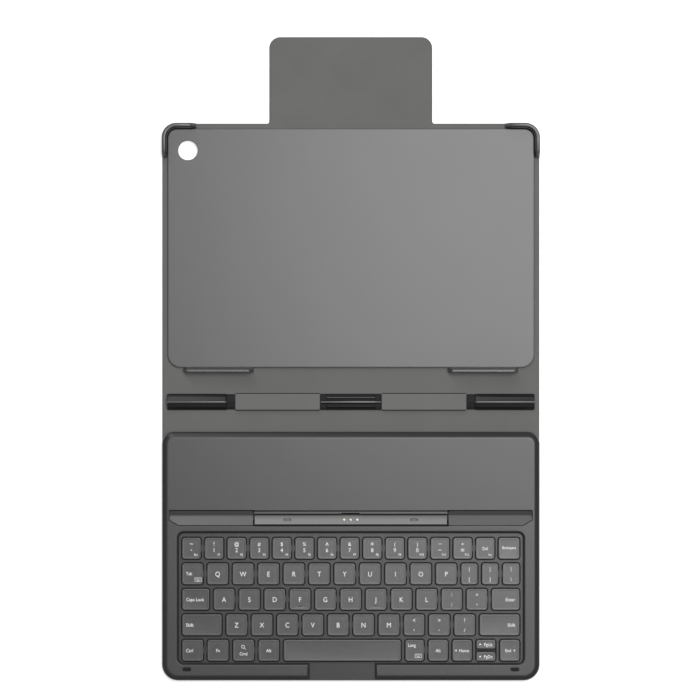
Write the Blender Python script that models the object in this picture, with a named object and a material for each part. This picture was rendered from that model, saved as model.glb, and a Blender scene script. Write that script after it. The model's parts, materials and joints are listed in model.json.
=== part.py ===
"""Folio keyboard case for a 10.5-inch-class tablet, opened flat.

A thin cover sheet folds across its width in five places. It carries, from front to rear: a keyboard
deck with a stand groove, a spine bar between two folds, a holder tray for the tablet, and a flap.
Metres; X is the width, +Y runs from the keyboard's front edge to the flap, +Z is up, and the origin
is at the middle of the whole, on the surface that it lies on.
"""

import math

import bmesh
import bpy

# ---------------------------------------------------------------- driving sizes
# The tablet's room, between the holder's guards and lips.
BAY_WIDTH = 0.2478
BAY_LENGTH = 0.1615
GUARD_HEIGHT = 0.0068
TRAY_THICKNESS = 0.0015
BORDER = 0.0036

# The cover sheet and its folds.
SKIN_THICKNESS = 0.0016
FIT_GAP = 0.0003
FOLD_CLEARANCE = 0.00015
DECK_TO_FOLD = 0.0112
FOLD_TO_TRAY = 0.0141
SWING_HEIGHT = 0.0376
FLAP_ROOT = 0.0024
FLAP_WIDTH = 0.1102
TAB_LENGTH = 0.0358
TAB_CORNER = 0.0074
COVER_CORNER = 0.0100
CLOSED_GAP = 0.0014
FRONT_CLEARANCE = 0.0025
WRAP_CLEARANCE = 0.0007

# The keyboard deck, from the bottom up.
BOTTOM_CASE_THICKNESS = 0.0010
MEMBRANE_THICKNESS = 0.0004
KEY_PLATE_THICKNESS = 0.0008
KEY_TRAVEL = 0.0012
KEY_STOP = 0.0001
KEY_RISE = 0.00145
KEY_RECESS = 0.0002
DECK_BEVEL = 0.0040
DECK_FRONT_CORNER = 0.0110
DECK_REAR_CORNER = 0.0080
DECK_SKIRT = 0.0006
# The deck edge's profile between its skirt and its top, as (share of the bevel, share of the height).
DECK_EDGE = ((0.10, 0.45), (0.42, 0.82), (1.00, 1.00))
BOTTOM_CASE_INSET = 0.0008

# The keys: five rows across one common field.
KEY_FIELD_WIDTH = 0.2276
KEY_DEPTH = 0.01445
ROW_GAP = 0.00274
NUMBER_KEY_GAP = 0.0025
LETTER_KEY_GAP = 0.0028
CAP_CORNER = 0.0018
CAP_EDGE = 0.0003
KEY_CLEARANCE = 0.0006
WEB_WIDTH = 0.0040
WEB_THICKNESS = 0.00035
WEB_REACH = 0.0020
SPLIT_KEY_GAP = 0.0021

# The recessed key well, its front notch and the stand groove.
FRONT_LEDGE = 0.0105
WELL_SIDE = 0.0038
WELL_REAR = 0.0046
WELL_FRONT = 0.0029
WELL_WALL = 0.0014
WELL_CORNER = 0.0050
NOTCH_WIDTH = 0.0445
GROOVE_TO_WELL = 0.0038
GROOVE_WIDTH = 0.01005
GROOVE_DEPTH = 0.0035
GROOVE_WALL_RUN = 0.0029
GROOVE_SIDE = 0.0050
GROOVE_END_RUN = 0.0061
GROOVE_END_DEPTH = 0.0037

# The connector cradle that floats in the middle of the groove.
CRADLE_LENGTH = 0.1304
CRADLE_WIDTH = 0.0059
CRADLE_GAP = 0.0006
CRADLE_UNDERSIDE = 0.0036
TRUNNION_RADIUS = 0.0008
TRUNNION_LENGTH = 0.0030
TRUNNION_FROM_FRONT = 0.0016
TRUNNION_HEIGHT = 0.00176
PIN_PITCH = 0.0044
PIN_RADIUS = 0.0009
PIN_RISE = 0.0006
PIN_DEPTH = 0.0015
CONTACT_BOARD_LENGTH = 0.0170
CONTACT_BOARD_WIDTH = 0.0030
CONTACT_BOARD_THICKNESS = 0.0004

# Small fittings.
BUMPER_LENGTH = 0.0054
BUMPER_WIDTH = 0.0021
BUMPER_STANDS = 0.0005
BUMPER_SEAT = 0.0008
BUMPER_OFFSET = 0.0026
BUMPER_FROM_KEYS = 0.0032
CAMERA_RADIUS = 0.0066
CAMERA_FROM_SIDE = 0.0138
CAMERA_FROM_TOP = 0.0146
TRAY_CORNER = 0.0090
GUARD_LEG = 0.0230
GUARD_RIM = 0.0022
GUARD_TAPER = 0.0030
GUARD_END_SHARE = 0.45
RIM_CHAMFER = 0.0008
RIM_DROP = 0.0010
FOOT_DROP = 0.0026
FOOT_SPREAD = 0.0006
LIP_LENGTH = 0.0414
LIP_CENTRE = 0.0893
LIP_END_SHARE = 0.30
LIP_SETBACK = 0.0006
SPINE_BAR_WIDTH = 0.0110
SPINE_BAR_HEIGHT = 0.0036
SPINE_PAD_HEIGHT = 0.0022
SPINE_END = 0.0032
SPINE_BAR_LENGTH = 0.0402
SPINE_NECK = 0.0060
SPINE_RAIL_LENGTH = 0.0410
SPINE_PAD_CORNER = 0.0008
BAR_PLINTH = 0.0006
BAR_STEP = 0.0020
BAR_END_DROP = 0.0008
BAR_NECK_RISE = 0.0007
BAR_CHAMFER = 0.0010
RAIL_GROOVE_FLOOR = 0.0006
RAIL_RIB_RISE = 0.0002
# Half of the rail's section as shares of its half width: outer chamfer, groove's two edges, rib.
RAIL_SHARES = (0.65, 0.48, 0.42, 0.20, 0.10)
BOARD_SIZE = (0.0620, 0.0220, 0.0010)

# ---------------------------------------------------------------- derived places
COVER_WIDTH = BAY_WIDTH + 2 * BORDER
HALF_WIDTH = COVER_WIDTH / 2
ON_SKIN = SKIN_THICKNESS + FIT_GAP
TRAY_FLOOR = ON_SKIN + TRAY_THICKNESS
GUARD_TOP = TRAY_FLOOR + GUARD_HEIGHT

BOTTOM_CASE_TOP = ON_SKIN + BOTTOM_CASE_THICKNESS
TOP_CASE_BASE = BOTTOM_CASE_TOP + FIT_GAP
MEMBRANE_TOP = TOP_CASE_BASE + MEMBRANE_THICKNESS
CAP_UNDER = MEMBRANE_TOP + KEY_STOP + KEY_TRAVEL
KEY_PLATE_UNDER = CAP_UNDER + WEB_THICKNESS + FIT_GAP
KEY_PLATE = KEY_PLATE_UNDER + KEY_PLATE_THICKNESS
CAP_TOP = KEY_PLATE + KEY_RISE
DECK_TOP = CAP_TOP + KEY_RECESS

# Closed, the guards hang CLOSED_GAP above the deck and the flap wraps the deck's front edge.
SPINE_PITCH = DECK_TOP + CLOSED_GAP + GUARD_TOP - SKIN_THICKNESS
DECK_LENGTH = FOLD_TO_TRAY + BAY_LENGTH + BORDER + FLAP_ROOT - DECK_TO_FOLD - FRONT_CLEARANCE
FLAP_BRIDGE = SPINE_PITCH + SKIN_THICKNESS + WRAP_CLEARANCE
TOTAL_LENGTH = (
    DECK_LENGTH + DECK_TO_FOLD + SPINE_PITCH + FOLD_TO_TRAY + BAY_LENGTH + BORDER + FLAP_ROOT
    + FLAP_BRIDGE + TAB_LENGTH
)

DECK_FRONT = -TOTAL_LENGTH / 2
DECK_REAR = DECK_FRONT + DECK_LENGTH
FOLD_DECK = DECK_REAR + DECK_TO_FOLD
FOLD_PANEL = FOLD_DECK + SPINE_PITCH
TRAY_FRONT = FOLD_PANEL + FOLD_TO_TRAY
TRAY_REAR = TRAY_FRONT + BAY_LENGTH
FOLD_SWING = TRAY_FRONT + SWING_HEIGHT
COVER_REAR = TRAY_REAR + BORDER
FOLD_FLAP = COVER_REAR + FLAP_ROOT
FOLD_TAB = FOLD_FLAP + FLAP_BRIDGE
TAB_END = FOLD_TAB + TAB_LENGTH
FOLD_LEVEL = SKIN_THICKNESS / 2
# Two sheets folded square about their middle line clear each other from this far off the line.
FOLD_HALF_GAP = SKIN_THICKNESS / 2 + FOLD_CLEARANCE

KEY_FIELD_DEPTH = 5 * KEY_DEPTH + 4 * ROW_GAP
WELL_DEPTH_Y = KEY_FIELD_DEPTH + WELL_REAR + WELL_FRONT
WELL_Y0 = DECK_FRONT + FRONT_LEDGE
WELL_Y1 = WELL_Y0 + WELL_DEPTH_Y
KEY_FIELD_FRONT = WELL_Y0 + WELL_FRONT
GROOVE_FRONT = WELL_Y1 + GROOVE_TO_WELL
GROOVE_REAR = GROOVE_FRONT + GROOVE_WIDTH
GROOVE_BOTTOM_Y = GROOVE_REAR - GROOVE_WALL_RUN
GROOVE_SLOPE = GROOVE_DEPTH / (GROOVE_WIDTH - GROOVE_WALL_RUN)
CRADLE_FRONT = GROOVE_FRONT + CRADLE_GAP
CRADLE_REAR = CRADLE_FRONT + CRADLE_WIDTH
POCKET_REAR = CRADLE_REAR + 2 * CRADLE_GAP
POCKET_HALF = CRADLE_LENGTH / 2 + CRADLE_GAP
SPINE_MIDDLE = (FOLD_DECK + FOLD_PANEL) / 2


# ---------------------------------------------------------------- modelling helpers
def clear_scene():
    for obj in list(bpy.data.objects):
        bpy.data.objects.remove(obj)


def material(name, colour, roughness, metallic=0.0):
    made = bpy.data.materials.new(name)
    made.use_nodes = True
    shader = made.node_tree.nodes["Principled BSDF"]
    shader.inputs["Base Color"].default_value = (*colour, 1.0)
    shader.inputs["Roughness"].default_value = roughness
    shader.inputs["Metallic"].default_value = metallic
    return made


def rounded_outline(x0, x1, y0, y1, radii, steps=4):
    """Anticlockwise outline of a rectangle whose front-left, front-right, rear-right and rear-left
    corners have the four given radii, each in steps segments."""
    front_left, front_right, rear_right, rear_left = radii
    corners = (
        (x0 + front_left, y0 + front_left, front_left, math.pi),
        (x1 - front_right, y0 + front_right, front_right, 1.5 * math.pi),
        (x1 - rear_right, y1 - rear_right, rear_right, 0.0),
        (x0 + rear_left, y1 - rear_left, rear_left, 0.5 * math.pi),
    )
    points = []
    for cx, cy, radius, start in corners:
        if radius == 0.0:
            points.append((cx, cy))
            continue
        for step in range(steps + 1):
            angle = start + 0.5 * math.pi * step / steps
            points.append((cx + radius * math.cos(angle), cy + radius * math.sin(angle)))
    return points


def at_height(outline, z):
    return [(x, y, z) for x, y in outline]


def across(profile, x):
    """A ring in the plane at x, from points (y, z)."""
    return [(x, y, z) for y, z in profile]


def loft(name, rings, finish, smooth=False):
    """One closed body through rings of equally many points, with a flat cap on each end."""
    mesh = bpy.data.meshes.new(name)
    bm = bmesh.new()
    levels = [[bm.verts.new(point) for point in ring] for ring in rings]
    for lower, upper in zip(levels, levels[1:]):
        for index in range(len(lower)):
            after = (index + 1) % len(lower)
            bm.faces.new((lower[index], lower[after], upper[after], upper[index]))
    bm.faces.new(list(reversed(levels[0])))
    bm.faces.new(levels[-1])
    bmesh.ops.recalc_face_normals(bm, faces=bm.faces)
    bm.to_mesh(mesh)
    bm.free()
    if smooth:
        mesh.shade_smooth()
        mesh.set_sharp_from_angle(angle=math.radians(35))
    mesh.materials.append(finish)
    obj = bpy.data.objects.new(name, mesh)
    bpy.context.scene.collection.objects.link(obj)
    return obj


def plate(name, outline, z0, z1, finish):
    return loft(name, [at_height(outline, z0), at_height(outline, z1)], finish)


def box(name, x0, x1, y0, y1, z0, z1, finish):
    return plate(name, [(x0, y0), (x1, y0), (x1, y1), (x0, y1)], z0, z1, finish)


def round_bar(name, start, end, radius, finish, sides=12):
    """A straight round bar from start to end, two points that differ in X, or in Y and Z."""
    along = [b - a for a, b in zip(start, end)]
    length = math.sqrt(sum(value * value for value in along))
    along = [value / length for value in along]
    side = (0.0, 1.0, 0.0) if abs(along[0]) > 0.5 else (1.0, 0.0, 0.0)
    other = (
        along[1] * side[2] - along[2] * side[1],
        along[2] * side[0] - along[0] * side[2],
        along[0] * side[1] - along[1] * side[0],
    )
    rings = []
    for centre in (start, end):
        ring = []
        for step in range(sides):
            angle = 2 * math.pi * step / sides
            u = radius * math.cos(angle)
            v = radius * math.sin(angle)
            ring.append(tuple(c + u * a + v * b for c, a, b in zip(centre, side, other)))
        rings.append(ring)
    return loft(name, rings, finish, smooth=True)


def combine(obj, operation, others):
    """Adds the other solids to obj, or cuts them from it, and hides them as helpers."""
    group = bpy.data.collections.new(f"{obj.name}_{operation.lower()}")
    bpy.context.scene.collection.children.link(group)
    for other in others:
        bpy.context.scene.collection.objects.unlink(other)
        group.objects.link(other)
        other.hide_render = True
        other.display_type = "WIRE"
    modifier = obj.modifiers.new(operation.title(), "BOOLEAN")
    modifier.operation = operation
    modifier.operand_type = "COLLECTION"
    modifier.collection = group
    modifier.solver = "EXACT"


def turn_about(name, location, pieces):
    """An empty on a joint's axis that carries the pieces which turn or slide there."""
    axis = bpy.data.objects.new(name, None)
    axis.location = location
    bpy.context.scene.collection.objects.link(axis)
    for piece in pieces:
        piece.parent = axis
        piece.matrix_parent_inverse.translation = [-value for value in location]
    return axis


# ---------------------------------------------------------------- the cover sheet
def upper_panel_outline():
    """Upper panel: rounded rear corners, and a short tongue with filleted roots for the flap."""
    body = rounded_outline(
        -HALF_WIDTH, HALF_WIDTH, FOLD_SWING + FOLD_HALF_GAP, COVER_REAR,
        (0.0, 0.0, COVER_CORNER, COVER_CORNER), 6,
    )
    split = 2 + 7
    fillet = FLAP_ROOT - FOLD_HALF_GAP
    tongue = []
    for side in (1, -1):
        centre_x = side * (FLAP_WIDTH / 2 + fillet)
        centre_y = COVER_REAR + fillet
        arc = []
        for step in range(4):
            angle = 0.5 * math.pi * step / 3
            x = centre_x - side * fillet * math.sin(angle)
            y = centre_y - fillet * math.cos(angle)
            arc.append((x, y))
        tongue += arc if side == 1 else arc[::-1]
    return body[:split] + tongue + body[split:]


def make_cover(leather):
    front = (DECK_FRONT_CORNER, DECK_FRONT_CORNER, 0.0, 0.0)
    square = (0.0, 0.0, 0.0, 0.0)
    rear = (0.0, 0.0, TAB_CORNER, TAB_CORNER)
    spans = (
        ("deck_cover_skin", HALF_WIDTH, DECK_FRONT, FOLD_DECK - FOLD_HALF_GAP, front),
        ("spine_skin", HALF_WIDTH, FOLD_DECK + FOLD_HALF_GAP, FOLD_PANEL - FOLD_HALF_GAP, square),
        ("lower_panel_skin", HALF_WIDTH, FOLD_PANEL + FOLD_HALF_GAP, FOLD_SWING - FOLD_HALF_GAP, square),
        ("flap_bridge", FLAP_WIDTH / 2, FOLD_FLAP + FOLD_HALF_GAP, FOLD_TAB - FOLD_HALF_GAP, square),
        ("flap_tab", FLAP_WIDTH / 2, FOLD_TAB + FOLD_HALF_GAP, TAB_END, rear),
    )
    skins = {}
    for name, half, y0, y1, radii in spans:
        outline = rounded_outline(-half, half, y0, y1, radii, 6)
        skins[name] = plate(name, outline, 0.0, SKIN_THICKNESS, leather)
    skins["upper_panel_skin"] = plate(
        "upper_panel_skin", upper_panel_outline(), 0.0, SKIN_THICKNESS, leather
    )
    combine(skins["upper_panel_skin"], "DIFFERENCE", [camera_cutter("skin_camera_cutter", leather)])
    return skins


def camera_cutter(name, finish):
    x = -HALF_WIDTH + BORDER + CAMERA_FROM_SIDE
    y = TRAY_REAR - CAMERA_FROM_TOP
    return round_bar(name, (x, y, -FIT_GAP), (x, y, GUARD_TOP), CAMERA_RADIUS, finish, 28)


# ---------------------------------------------------------------- the tablet holder
def guard_rings(side):
    """Rings of one corner guard, from the end of its rear leg round the corner to the side leg."""
    x_edge = side * HALF_WIDTH
    corner = (x_edge - side * COVER_CORNER, COVER_REAR - COVER_CORNER)
    straight = GUARD_LEG - COVER_CORNER
    stations = []
    for run, scale in ((straight, GUARD_END_SHARE), (straight - GUARD_TAPER, 1.0)):
        stations.append(((corner[0] - side * run, COVER_REAR), (0.0, -1.0), scale))
    for step in range(7):
        angle = 0.5 * math.pi * (1 - step / 6)
        out = (side * math.cos(angle), math.sin(angle))
        place = (corner[0] + COVER_CORNER * out[0], corner[1] + COVER_CORNER * out[1])
        stations.append((place, (-out[0], -out[1]), 1.0))
    for run, scale in ((straight - GUARD_TAPER, 1.0), (straight, GUARD_END_SHARE)):
        stations.append(((x_edge, corner[1] - run), (-side, 0.0), scale))
    rings = []
    for (x, y), (nx, ny), scale in stations:
        ring = []
        for inward, z in holder_wall_profile(scale):
            ring.append((x + nx * inward, y + ny * inward, z))
        rings.append(ring)
    return rings


def holder_wall_profile(scale=1.0):
    """(distance in from the outer face, height): a flat rim, then a slope down to the tray floor."""
    top = TRAY_FLOOR + (GUARD_TOP - TRAY_FLOOR) * scale
    shoulder = top - RIM_DROP * scale
    middle = TRAY_FLOOR + (GUARD_HEIGHT - FOOT_DROP) * scale
    return (
        (0.0, ON_SKIN),
        (0.0, shoulder),
        (RIM_CHAMFER, top),
        (GUARD_RIM, top),
        (GUARD_RIM + RIM_CHAMFER, middle),
        (BORDER + FOOT_SPREAD / 3, TRAY_FLOOR),
        (BORDER + FOOT_SPREAD, ON_SKIN + FIT_GAP),
    )


def lip_rings(side):
    """Rings of one bottom lip, which stands just outside the tray's front edge."""
    thickness = BORDER - LIP_SETBACK
    half = LIP_LENGTH / 2
    tip = half + GUARD_TAPER
    rings = []
    for offset, scale in ((-tip, LIP_END_SHARE), (-half, 1.0), (half, 1.0), (tip, LIP_END_SHARE)):
        ring = []
        for inward, z in holder_wall_profile(scale):
            y = TRAY_FRONT - thickness + inward
            ring.append((side * LIP_CENTRE + offset, y, z))
        rings.append(ring)
    return rings


def make_holder(plastic):
    outline = rounded_outline(
        -BAY_WIDTH / 2, BAY_WIDTH / 2, TRAY_FRONT, TRAY_REAR,
        (TRAY_CORNER, TRAY_CORNER, COVER_CORNER - BORDER, COVER_CORNER - BORDER), 5,
    )
    tray = plate("holder_tray", outline, ON_SKIN, TRAY_FLOOR, plastic)
    walls = []
    for side, word in ((-1, "left"), (1, "right")):
        walls.append(loft(f"guard_{word}", guard_rings(side), plastic))
        walls.append(loft(f"lip_{word}", lip_rings(side), plastic))
    combine(tray, "UNION", walls)
    combine(tray, "DIFFERENCE", [camera_cutter("tray_camera_cutter", plastic)])
    return tray


# ---------------------------------------------------------------- the spine bar
def arch_profile(width, height, sides=8):
    """(y, z) of a flat-bottomed arch that stands on the skin."""
    profile = []
    for step in range(sides + 1):
        angle = math.pi * step / sides
        profile.append((SPINE_MIDDLE - width / 2 * math.cos(angle), height * math.sin(angle)))
    return [(y, ON_SKIN + BAR_PLINTH + z) for y, z in profile] + [
        (SPINE_MIDDLE + width / 2, ON_SKIN),
        (SPINE_MIDDLE - width / 2, ON_SKIN),
    ]


def make_spine_bar(steel, leather, plastic):
    end = HALF_WIDTH - SPINE_END
    inner = end - SPINE_BAR_LENGTH
    pad_end = inner - SPINE_NECK
    rail_end = SPINE_RAIL_LENGTH / 2
    rise = SPINE_BAR_HEIGHT - BAR_PLINTH
    tall = arch_profile(SPINE_BAR_WIDTH, rise)
    slim = arch_profile(SPINE_BAR_WIDTH - BAR_STEP, rise - BAR_END_DROP)
    low = arch_profile(SPINE_BAR_WIDTH - BAR_STEP, BAR_NECK_RISE)
    pieces = []
    for side, word in ((-1, "left"), (1, "right")):
        stations = (
            (end, slim), (end - BAR_CHAMFER, tall), (inner + 1.5 * BAR_CHAMFER, tall), (inner, slim),
            (inner - BAR_END_DROP, low), (pad_end + FIT_GAP, low),
        )
        rings = [across(profile, side * x) for x, profile in stations]
        pieces.append(loft(f"spine_bar_{word}", rings, steel, smooth=True))
        ends = sorted((side * (rail_end + FIT_GAP), side * pad_end))
        pad = rounded_outline(
            *ends, SPINE_MIDDLE - SPINE_BAR_WIDTH / 2, SPINE_MIDDLE + SPINE_BAR_WIDTH / 2,
            (SPINE_PAD_CORNER,) * 4, 2,
        )
        pieces.append(plate(f"spine_pad_{word}", pad, ON_SKIN, ON_SKIN + SPINE_PAD_HEIGHT, leather))
    half = SPINE_BAR_WIDTH / 2
    top = ON_SKIN + SPINE_PAD_HEIGHT
    floor = ON_SKIN + RAIL_GROOVE_FLOOR
    shares = (1.0, 1.0, *RAIL_SHARES)
    heights = (ON_SKIN, top - RIM_CHAMFER, top, top, floor, floor, top + RAIL_RIB_RISE)
    right = [(share * half, z) for share, z in zip(shares, heights)]
    ridge = right + [(-y, z) for y, z in reversed(right)]
    profile = [(SPINE_MIDDLE + y, z) for y, z in ridge]
    rail = loft("spine_centre_rail", [across(profile, -rail_end), across(profile, rail_end)], plastic)
    return pieces + [rail]


# ---------------------------------------------------------------- the keys
# Each row lists its moving nodes; a node holds one key or two neighbours, as (name, width share).
KEY_ROWS = (
    (NUMBER_KEY_GAP, (
        (("grave", 1), ("1", 1)), (("2", 1), ("3", 1)), (("4", 1), ("5", 1)), (("6", 1), ("7", 1)),
        (("8", 1), ("9", 1)), (("0", 1), ("minus", 1)), (("equals", 1), ("delete", 1)),
        (("backspace", 1.127),),
    )),
    (LETTER_KEY_GAP, (
        (("tab", 0.985), ("q", 1)), (("w", 1), ("e", 1)), (("r", 1), ("t", 1)), (("y", 1), ("u", 1)),
        (("i", 1), ("o", 1)), (("p", 1), ("bracket_open", 0.785)),
        (("bracket_close", 0.78), ("backslash", 0.805)),
    )),
    (LETTER_KEY_GAP, (
        (("caps_lock", 1.29),), (("a", 1), ("s", 1)), (("d", 1), ("f", 1)), (("g", 1), ("h", 1)),
        (("j", 1), ("k", 1)), (("l", 1), ("semicolon", 0.985)), (("quote", 0.995), ("enter", 1.325)),
    )),
    (LETTER_KEY_GAP, (
        (("shift_left", 1.875),), (("z", 1), ("x", 1)), (("c", 1), ("v", 1)), (("b", 1), ("n", 1)),
        (("m", 1), ("comma", 0.98)), (("stop", 1), ("slash", 1)), (("shift_right", 1.895),),
    )),
    (LETTER_KEY_GAP, (
        (("ctrl", 0.99), ("fn", 1)), (("command", 1), ("alt_left", 0.98)), (("space", 5.50),),
        (("language", 0.885), ("alt_right", 0.93)), (("home", 0.925),), (("page_up", 0.91),),
        (("end", 0.93),),
    )),
)


def key_columns():
    """Yields (node name, list of full-depth places as (x0, x1, y0, y1)) along every row."""
    for row, (gap, nodes) in enumerate(KEY_ROWS):
        shares = [share for node in nodes for _, share in node]
        unit = (KEY_FIELD_WIDTH - gap * (len(shares) - 1)) / sum(shares)
        rear = KEY_FIELD_FRONT + KEY_FIELD_DEPTH - row * (KEY_DEPTH + ROW_GAP)
        x = -KEY_FIELD_WIDTH / 2
        for node in nodes:
            places = []
            for _, share in node:
                places.append((x, x + share * unit, rear - KEY_DEPTH, rear))
                x += share * unit + gap
            yield "key_" + "_".join(word for word, _ in node), places


def key_places():
    """Yields (node name, list of caps) for every moving node; two half keys share the page column."""
    for name, places in key_columns():
        if name != "key_page_up":
            yield name, places
            continue
        x0, x1, y0, y1 = places[0]
        half = (KEY_DEPTH - SPLIT_KEY_GAP) / 2
        yield "key_page_up", [(x0, x1, y1 - half, y1)]
        yield "key_page_down", [(x0, x1, y0, y0 + half)]


def cap_rings(x0, x1, y0, y1, levels):
    """Rings of a key's outline; levels are (inset, height)."""
    rings = []
    for inset, z in levels:
        radius = CAP_CORNER - inset
        outline = rounded_outline(x0 + inset, x1 - inset, y0 + inset, y1 - inset, (radius,) * 4, 2)
        rings.append(at_height(outline, z))
    return rings


def make_key(name, caps, plastic):
    levels = ((0.0, CAP_UNDER), (0.0, CAP_TOP - CAP_EDGE), (CAP_EDGE, CAP_TOP))
    solids = [loft(name, cap_rings(*caps[0], levels), plastic)]
    if len(caps) == 2:
        y = (caps[0][2] + caps[0][3]) / 2
        solids.append(loft(f"{name}_cap", cap_rings(*caps[1], levels), plastic))
        solids.append(
            box(f"{name}_web", caps[0][1] - WEB_REACH, caps[1][0] + WEB_REACH, y - WEB_WIDTH / 2,
                y + WEB_WIDTH / 2, CAP_UNDER, CAP_UNDER + WEB_THICKNESS, plastic)
        )
        combine(solids[0], "UNION", solids[1:])
    return solids[0]


# ---------------------------------------------------------------- the deck
def deck_rings(inset, z0, levels):
    """Rings of the deck's outline; levels are (extra inset, height above z0)."""
    rings = []
    for extra, height in levels:
        edge = inset + extra
        front = DECK_FRONT_CORNER - edge
        rear = DECK_REAR_CORNER - edge
        outline = rounded_outline(
            -HALF_WIDTH + edge, HALF_WIDTH - edge, DECK_FRONT + edge, DECK_REAR - edge,
            (front, front, rear, rear), 5,
        )
        rings.append(at_height(outline, z0 + height))
    return rings


def groove_floor(y):
    """Height of the groove's sloping floor, which meets the deck's top at the groove's front."""
    return DECK_TOP - GROOVE_SLOPE * (y - GROOVE_FRONT)


def groove_cutter(name, side, finish):
    """One wing of the stand groove: a V across the deck with its outer front corner cut off."""
    above = DECK_TOP + FIT_GAP
    outer = HALF_WIDTH - GROOVE_SIDE
    rings = []
    for x, front in (
        (POCKET_HALF - CRADLE_GAP, GROOVE_FRONT),
        (outer - GROOVE_END_RUN, GROOVE_FRONT),
        (outer, GROOVE_FRONT + GROOVE_END_DEPTH),
    ):
        profile = (
            (front, above), (front, groove_floor(front)),
            (GROOVE_BOTTOM_Y, groove_floor(GROOVE_BOTTOM_Y)),
            (GROOVE_REAR, DECK_TOP), (GROOVE_REAR, above),
        )
        rings.append(across(profile, side * x))
    return loft(name, rings, finish)


def top_case_cutters(finish):
    above = DECK_TOP + FIT_GAP
    below = TOP_CASE_BASE - FIT_GAP
    well_half = KEY_FIELD_WIDTH / 2 + WELL_SIDE
    well = []
    # The wall's slope goes on above the deck's top, so that the rim keeps its size there.
    rise = (above - DECK_TOP) / (DECK_TOP - KEY_PLATE) * WELL_WALL
    for inset, z in ((WELL_WALL, KEY_PLATE), (-rise, above)):
        radius = WELL_CORNER - inset
        outline = rounded_outline(
            -well_half + inset, well_half - inset, WELL_Y0 + inset, WELL_Y1 - inset, (radius,) * 4, 5
        )
        well.append(at_height(outline, z))
    cutters = [loft("well_cutter", well, finish)]

    space = next(caps[0] for name, caps in key_places() if name == "key_space")
    middle = (space[0] + space[1]) / 2
    notch = []
    for half, z in ((NOTCH_WIDTH / 2, KEY_PLATE), (NOTCH_WIDTH / 2 + WELL_WALL + rise, above)):
        notch.append([
            (middle - half, DECK_FRONT - FIT_GAP, z), (middle + half, DECK_FRONT - FIT_GAP, z),
            (middle + half, WELL_Y0 + WELL_WALL + FIT_GAP, z),
            (middle - half, WELL_Y0 + WELL_WALL + FIT_GAP, z),
        ])
    cutters.append(loft("notch_cutter", notch, finish))

    for side, word in ((-1, "left"), (1, "right")):
        cutters.append(groove_cutter(f"groove_cutter_{word}", side, finish))
    cutters.append(
        box("cradle_cutter", -POCKET_HALF, POCKET_HALF, GROOVE_FRONT - CRADLE_GAP, POCKET_REAR,
            below, above, finish)
    )
    y, z = trunnion_axis()
    reach = POCKET_HALF + TRUNNION_LENGTH
    cutters.append(
        round_bar("trunnion_cutter", (-reach, y, z), (reach, y, z), TRUNNION_RADIUS + FIT_GAP, finish)
    )

    half = KEY_FIELD_WIDTH / 2 + KEY_CLEARANCE
    cutters.append(
        box("membrane_cutter", -half, half, KEY_FIELD_FRONT - KEY_CLEARANCE,
            KEY_FIELD_FRONT + KEY_FIELD_DEPTH + KEY_CLEARANCE, below, KEY_PLATE_UNDER, finish)
    )
    wall = DECK_BEVEL + BOTTOM_CASE_THICKNESS
    cutters.append(
        box("electronics_cutter", -HALF_WIDTH + 2 * wall, HALF_WIDTH - 2 * wall, GROOVE_REAR + wall,
            DECK_REAR - 2 * wall, below, DECK_TOP - BOTTOM_CASE_THICKNESS, finish)
    )
    levels = ((-KEY_CLEARANCE, KEY_PLATE_UNDER - FIT_GAP), (-KEY_CLEARANCE, KEY_PLATE + FIT_GAP))
    for name, places in key_columns():
        for place in places:
            cutters.append(loft(f"{name}_opening", cap_rings(*place, levels), finish))
    for x in (-bumper_x(), bumper_x()):
        cutters.append(bumper_solid("bumper_cutter", x, FIT_GAP, DECK_TOP - BUMPER_SEAT, above, finish))
    return cutters


def bumper_x():
    return KEY_FIELD_WIDTH / 2 - BUMPER_FROM_KEYS


def bumper_solid(name, x, grow, z0, z1, finish):
    half_length = BUMPER_LENGTH / 2 + grow
    half_width = BUMPER_WIDTH / 2 + grow
    y = WELL_Y0 - BUMPER_OFFSET
    radius = half_width - FIT_GAP / 10
    outline = rounded_outline(
        x - half_length, x + half_length, y - half_width, y + half_width, (radius,) * 4, 3
    )
    return plate(name, outline, z0, z1, finish)


def make_deck(plastic, dark, film, board):
    height = DECK_TOP - TOP_CASE_BASE
    levels = [(0.0, 0.0), (0.0, DECK_SKIRT)] + [(u * DECK_BEVEL, v * height) for u, v in DECK_EDGE]
    top = loft("deck_top_case", deck_rings(0.0, TOP_CASE_BASE, levels), plastic, smooth=True)
    combine(top, "DIFFERENCE", top_case_cutters(plastic))
    bottom = loft(
        "deck_bottom_case",
        deck_rings(BOTTOM_CASE_INSET, ON_SKIN, ((0.0, 0.0), (0.0, BOTTOM_CASE_THICKNESS))), dark,
    )
    half = KEY_FIELD_WIDTH / 2
    membrane = box(
        "switch_membrane", -half, half, KEY_FIELD_FRONT, KEY_FIELD_FRONT + KEY_FIELD_DEPTH,
        TOP_CASE_BASE, MEMBRANE_TOP, film,
    )
    length, depth, thickness = BOARD_SIZE
    rear = GROOVE_REAR + DECK_BEVEL + BOTTOM_CASE_THICKNESS + 4 * FIT_GAP
    controller = box(
        "controller_board", -length / 2, length / 2, rear, rear + depth,
        TOP_CASE_BASE, TOP_CASE_BASE + thickness, board,
    )
    foot = DECK_TOP - BUMPER_SEAT + FIT_GAP
    bumpers = [
        bumper_solid("bumper_left", -bumper_x(), 0.0, foot, DECK_TOP + BUMPER_STANDS, dark),
        bumper_solid("bumper_right", bumper_x(), 0.0, foot, DECK_TOP + BUMPER_STANDS, dark),
    ]
    return [top, bottom, membrane, controller] + bumpers


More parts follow.
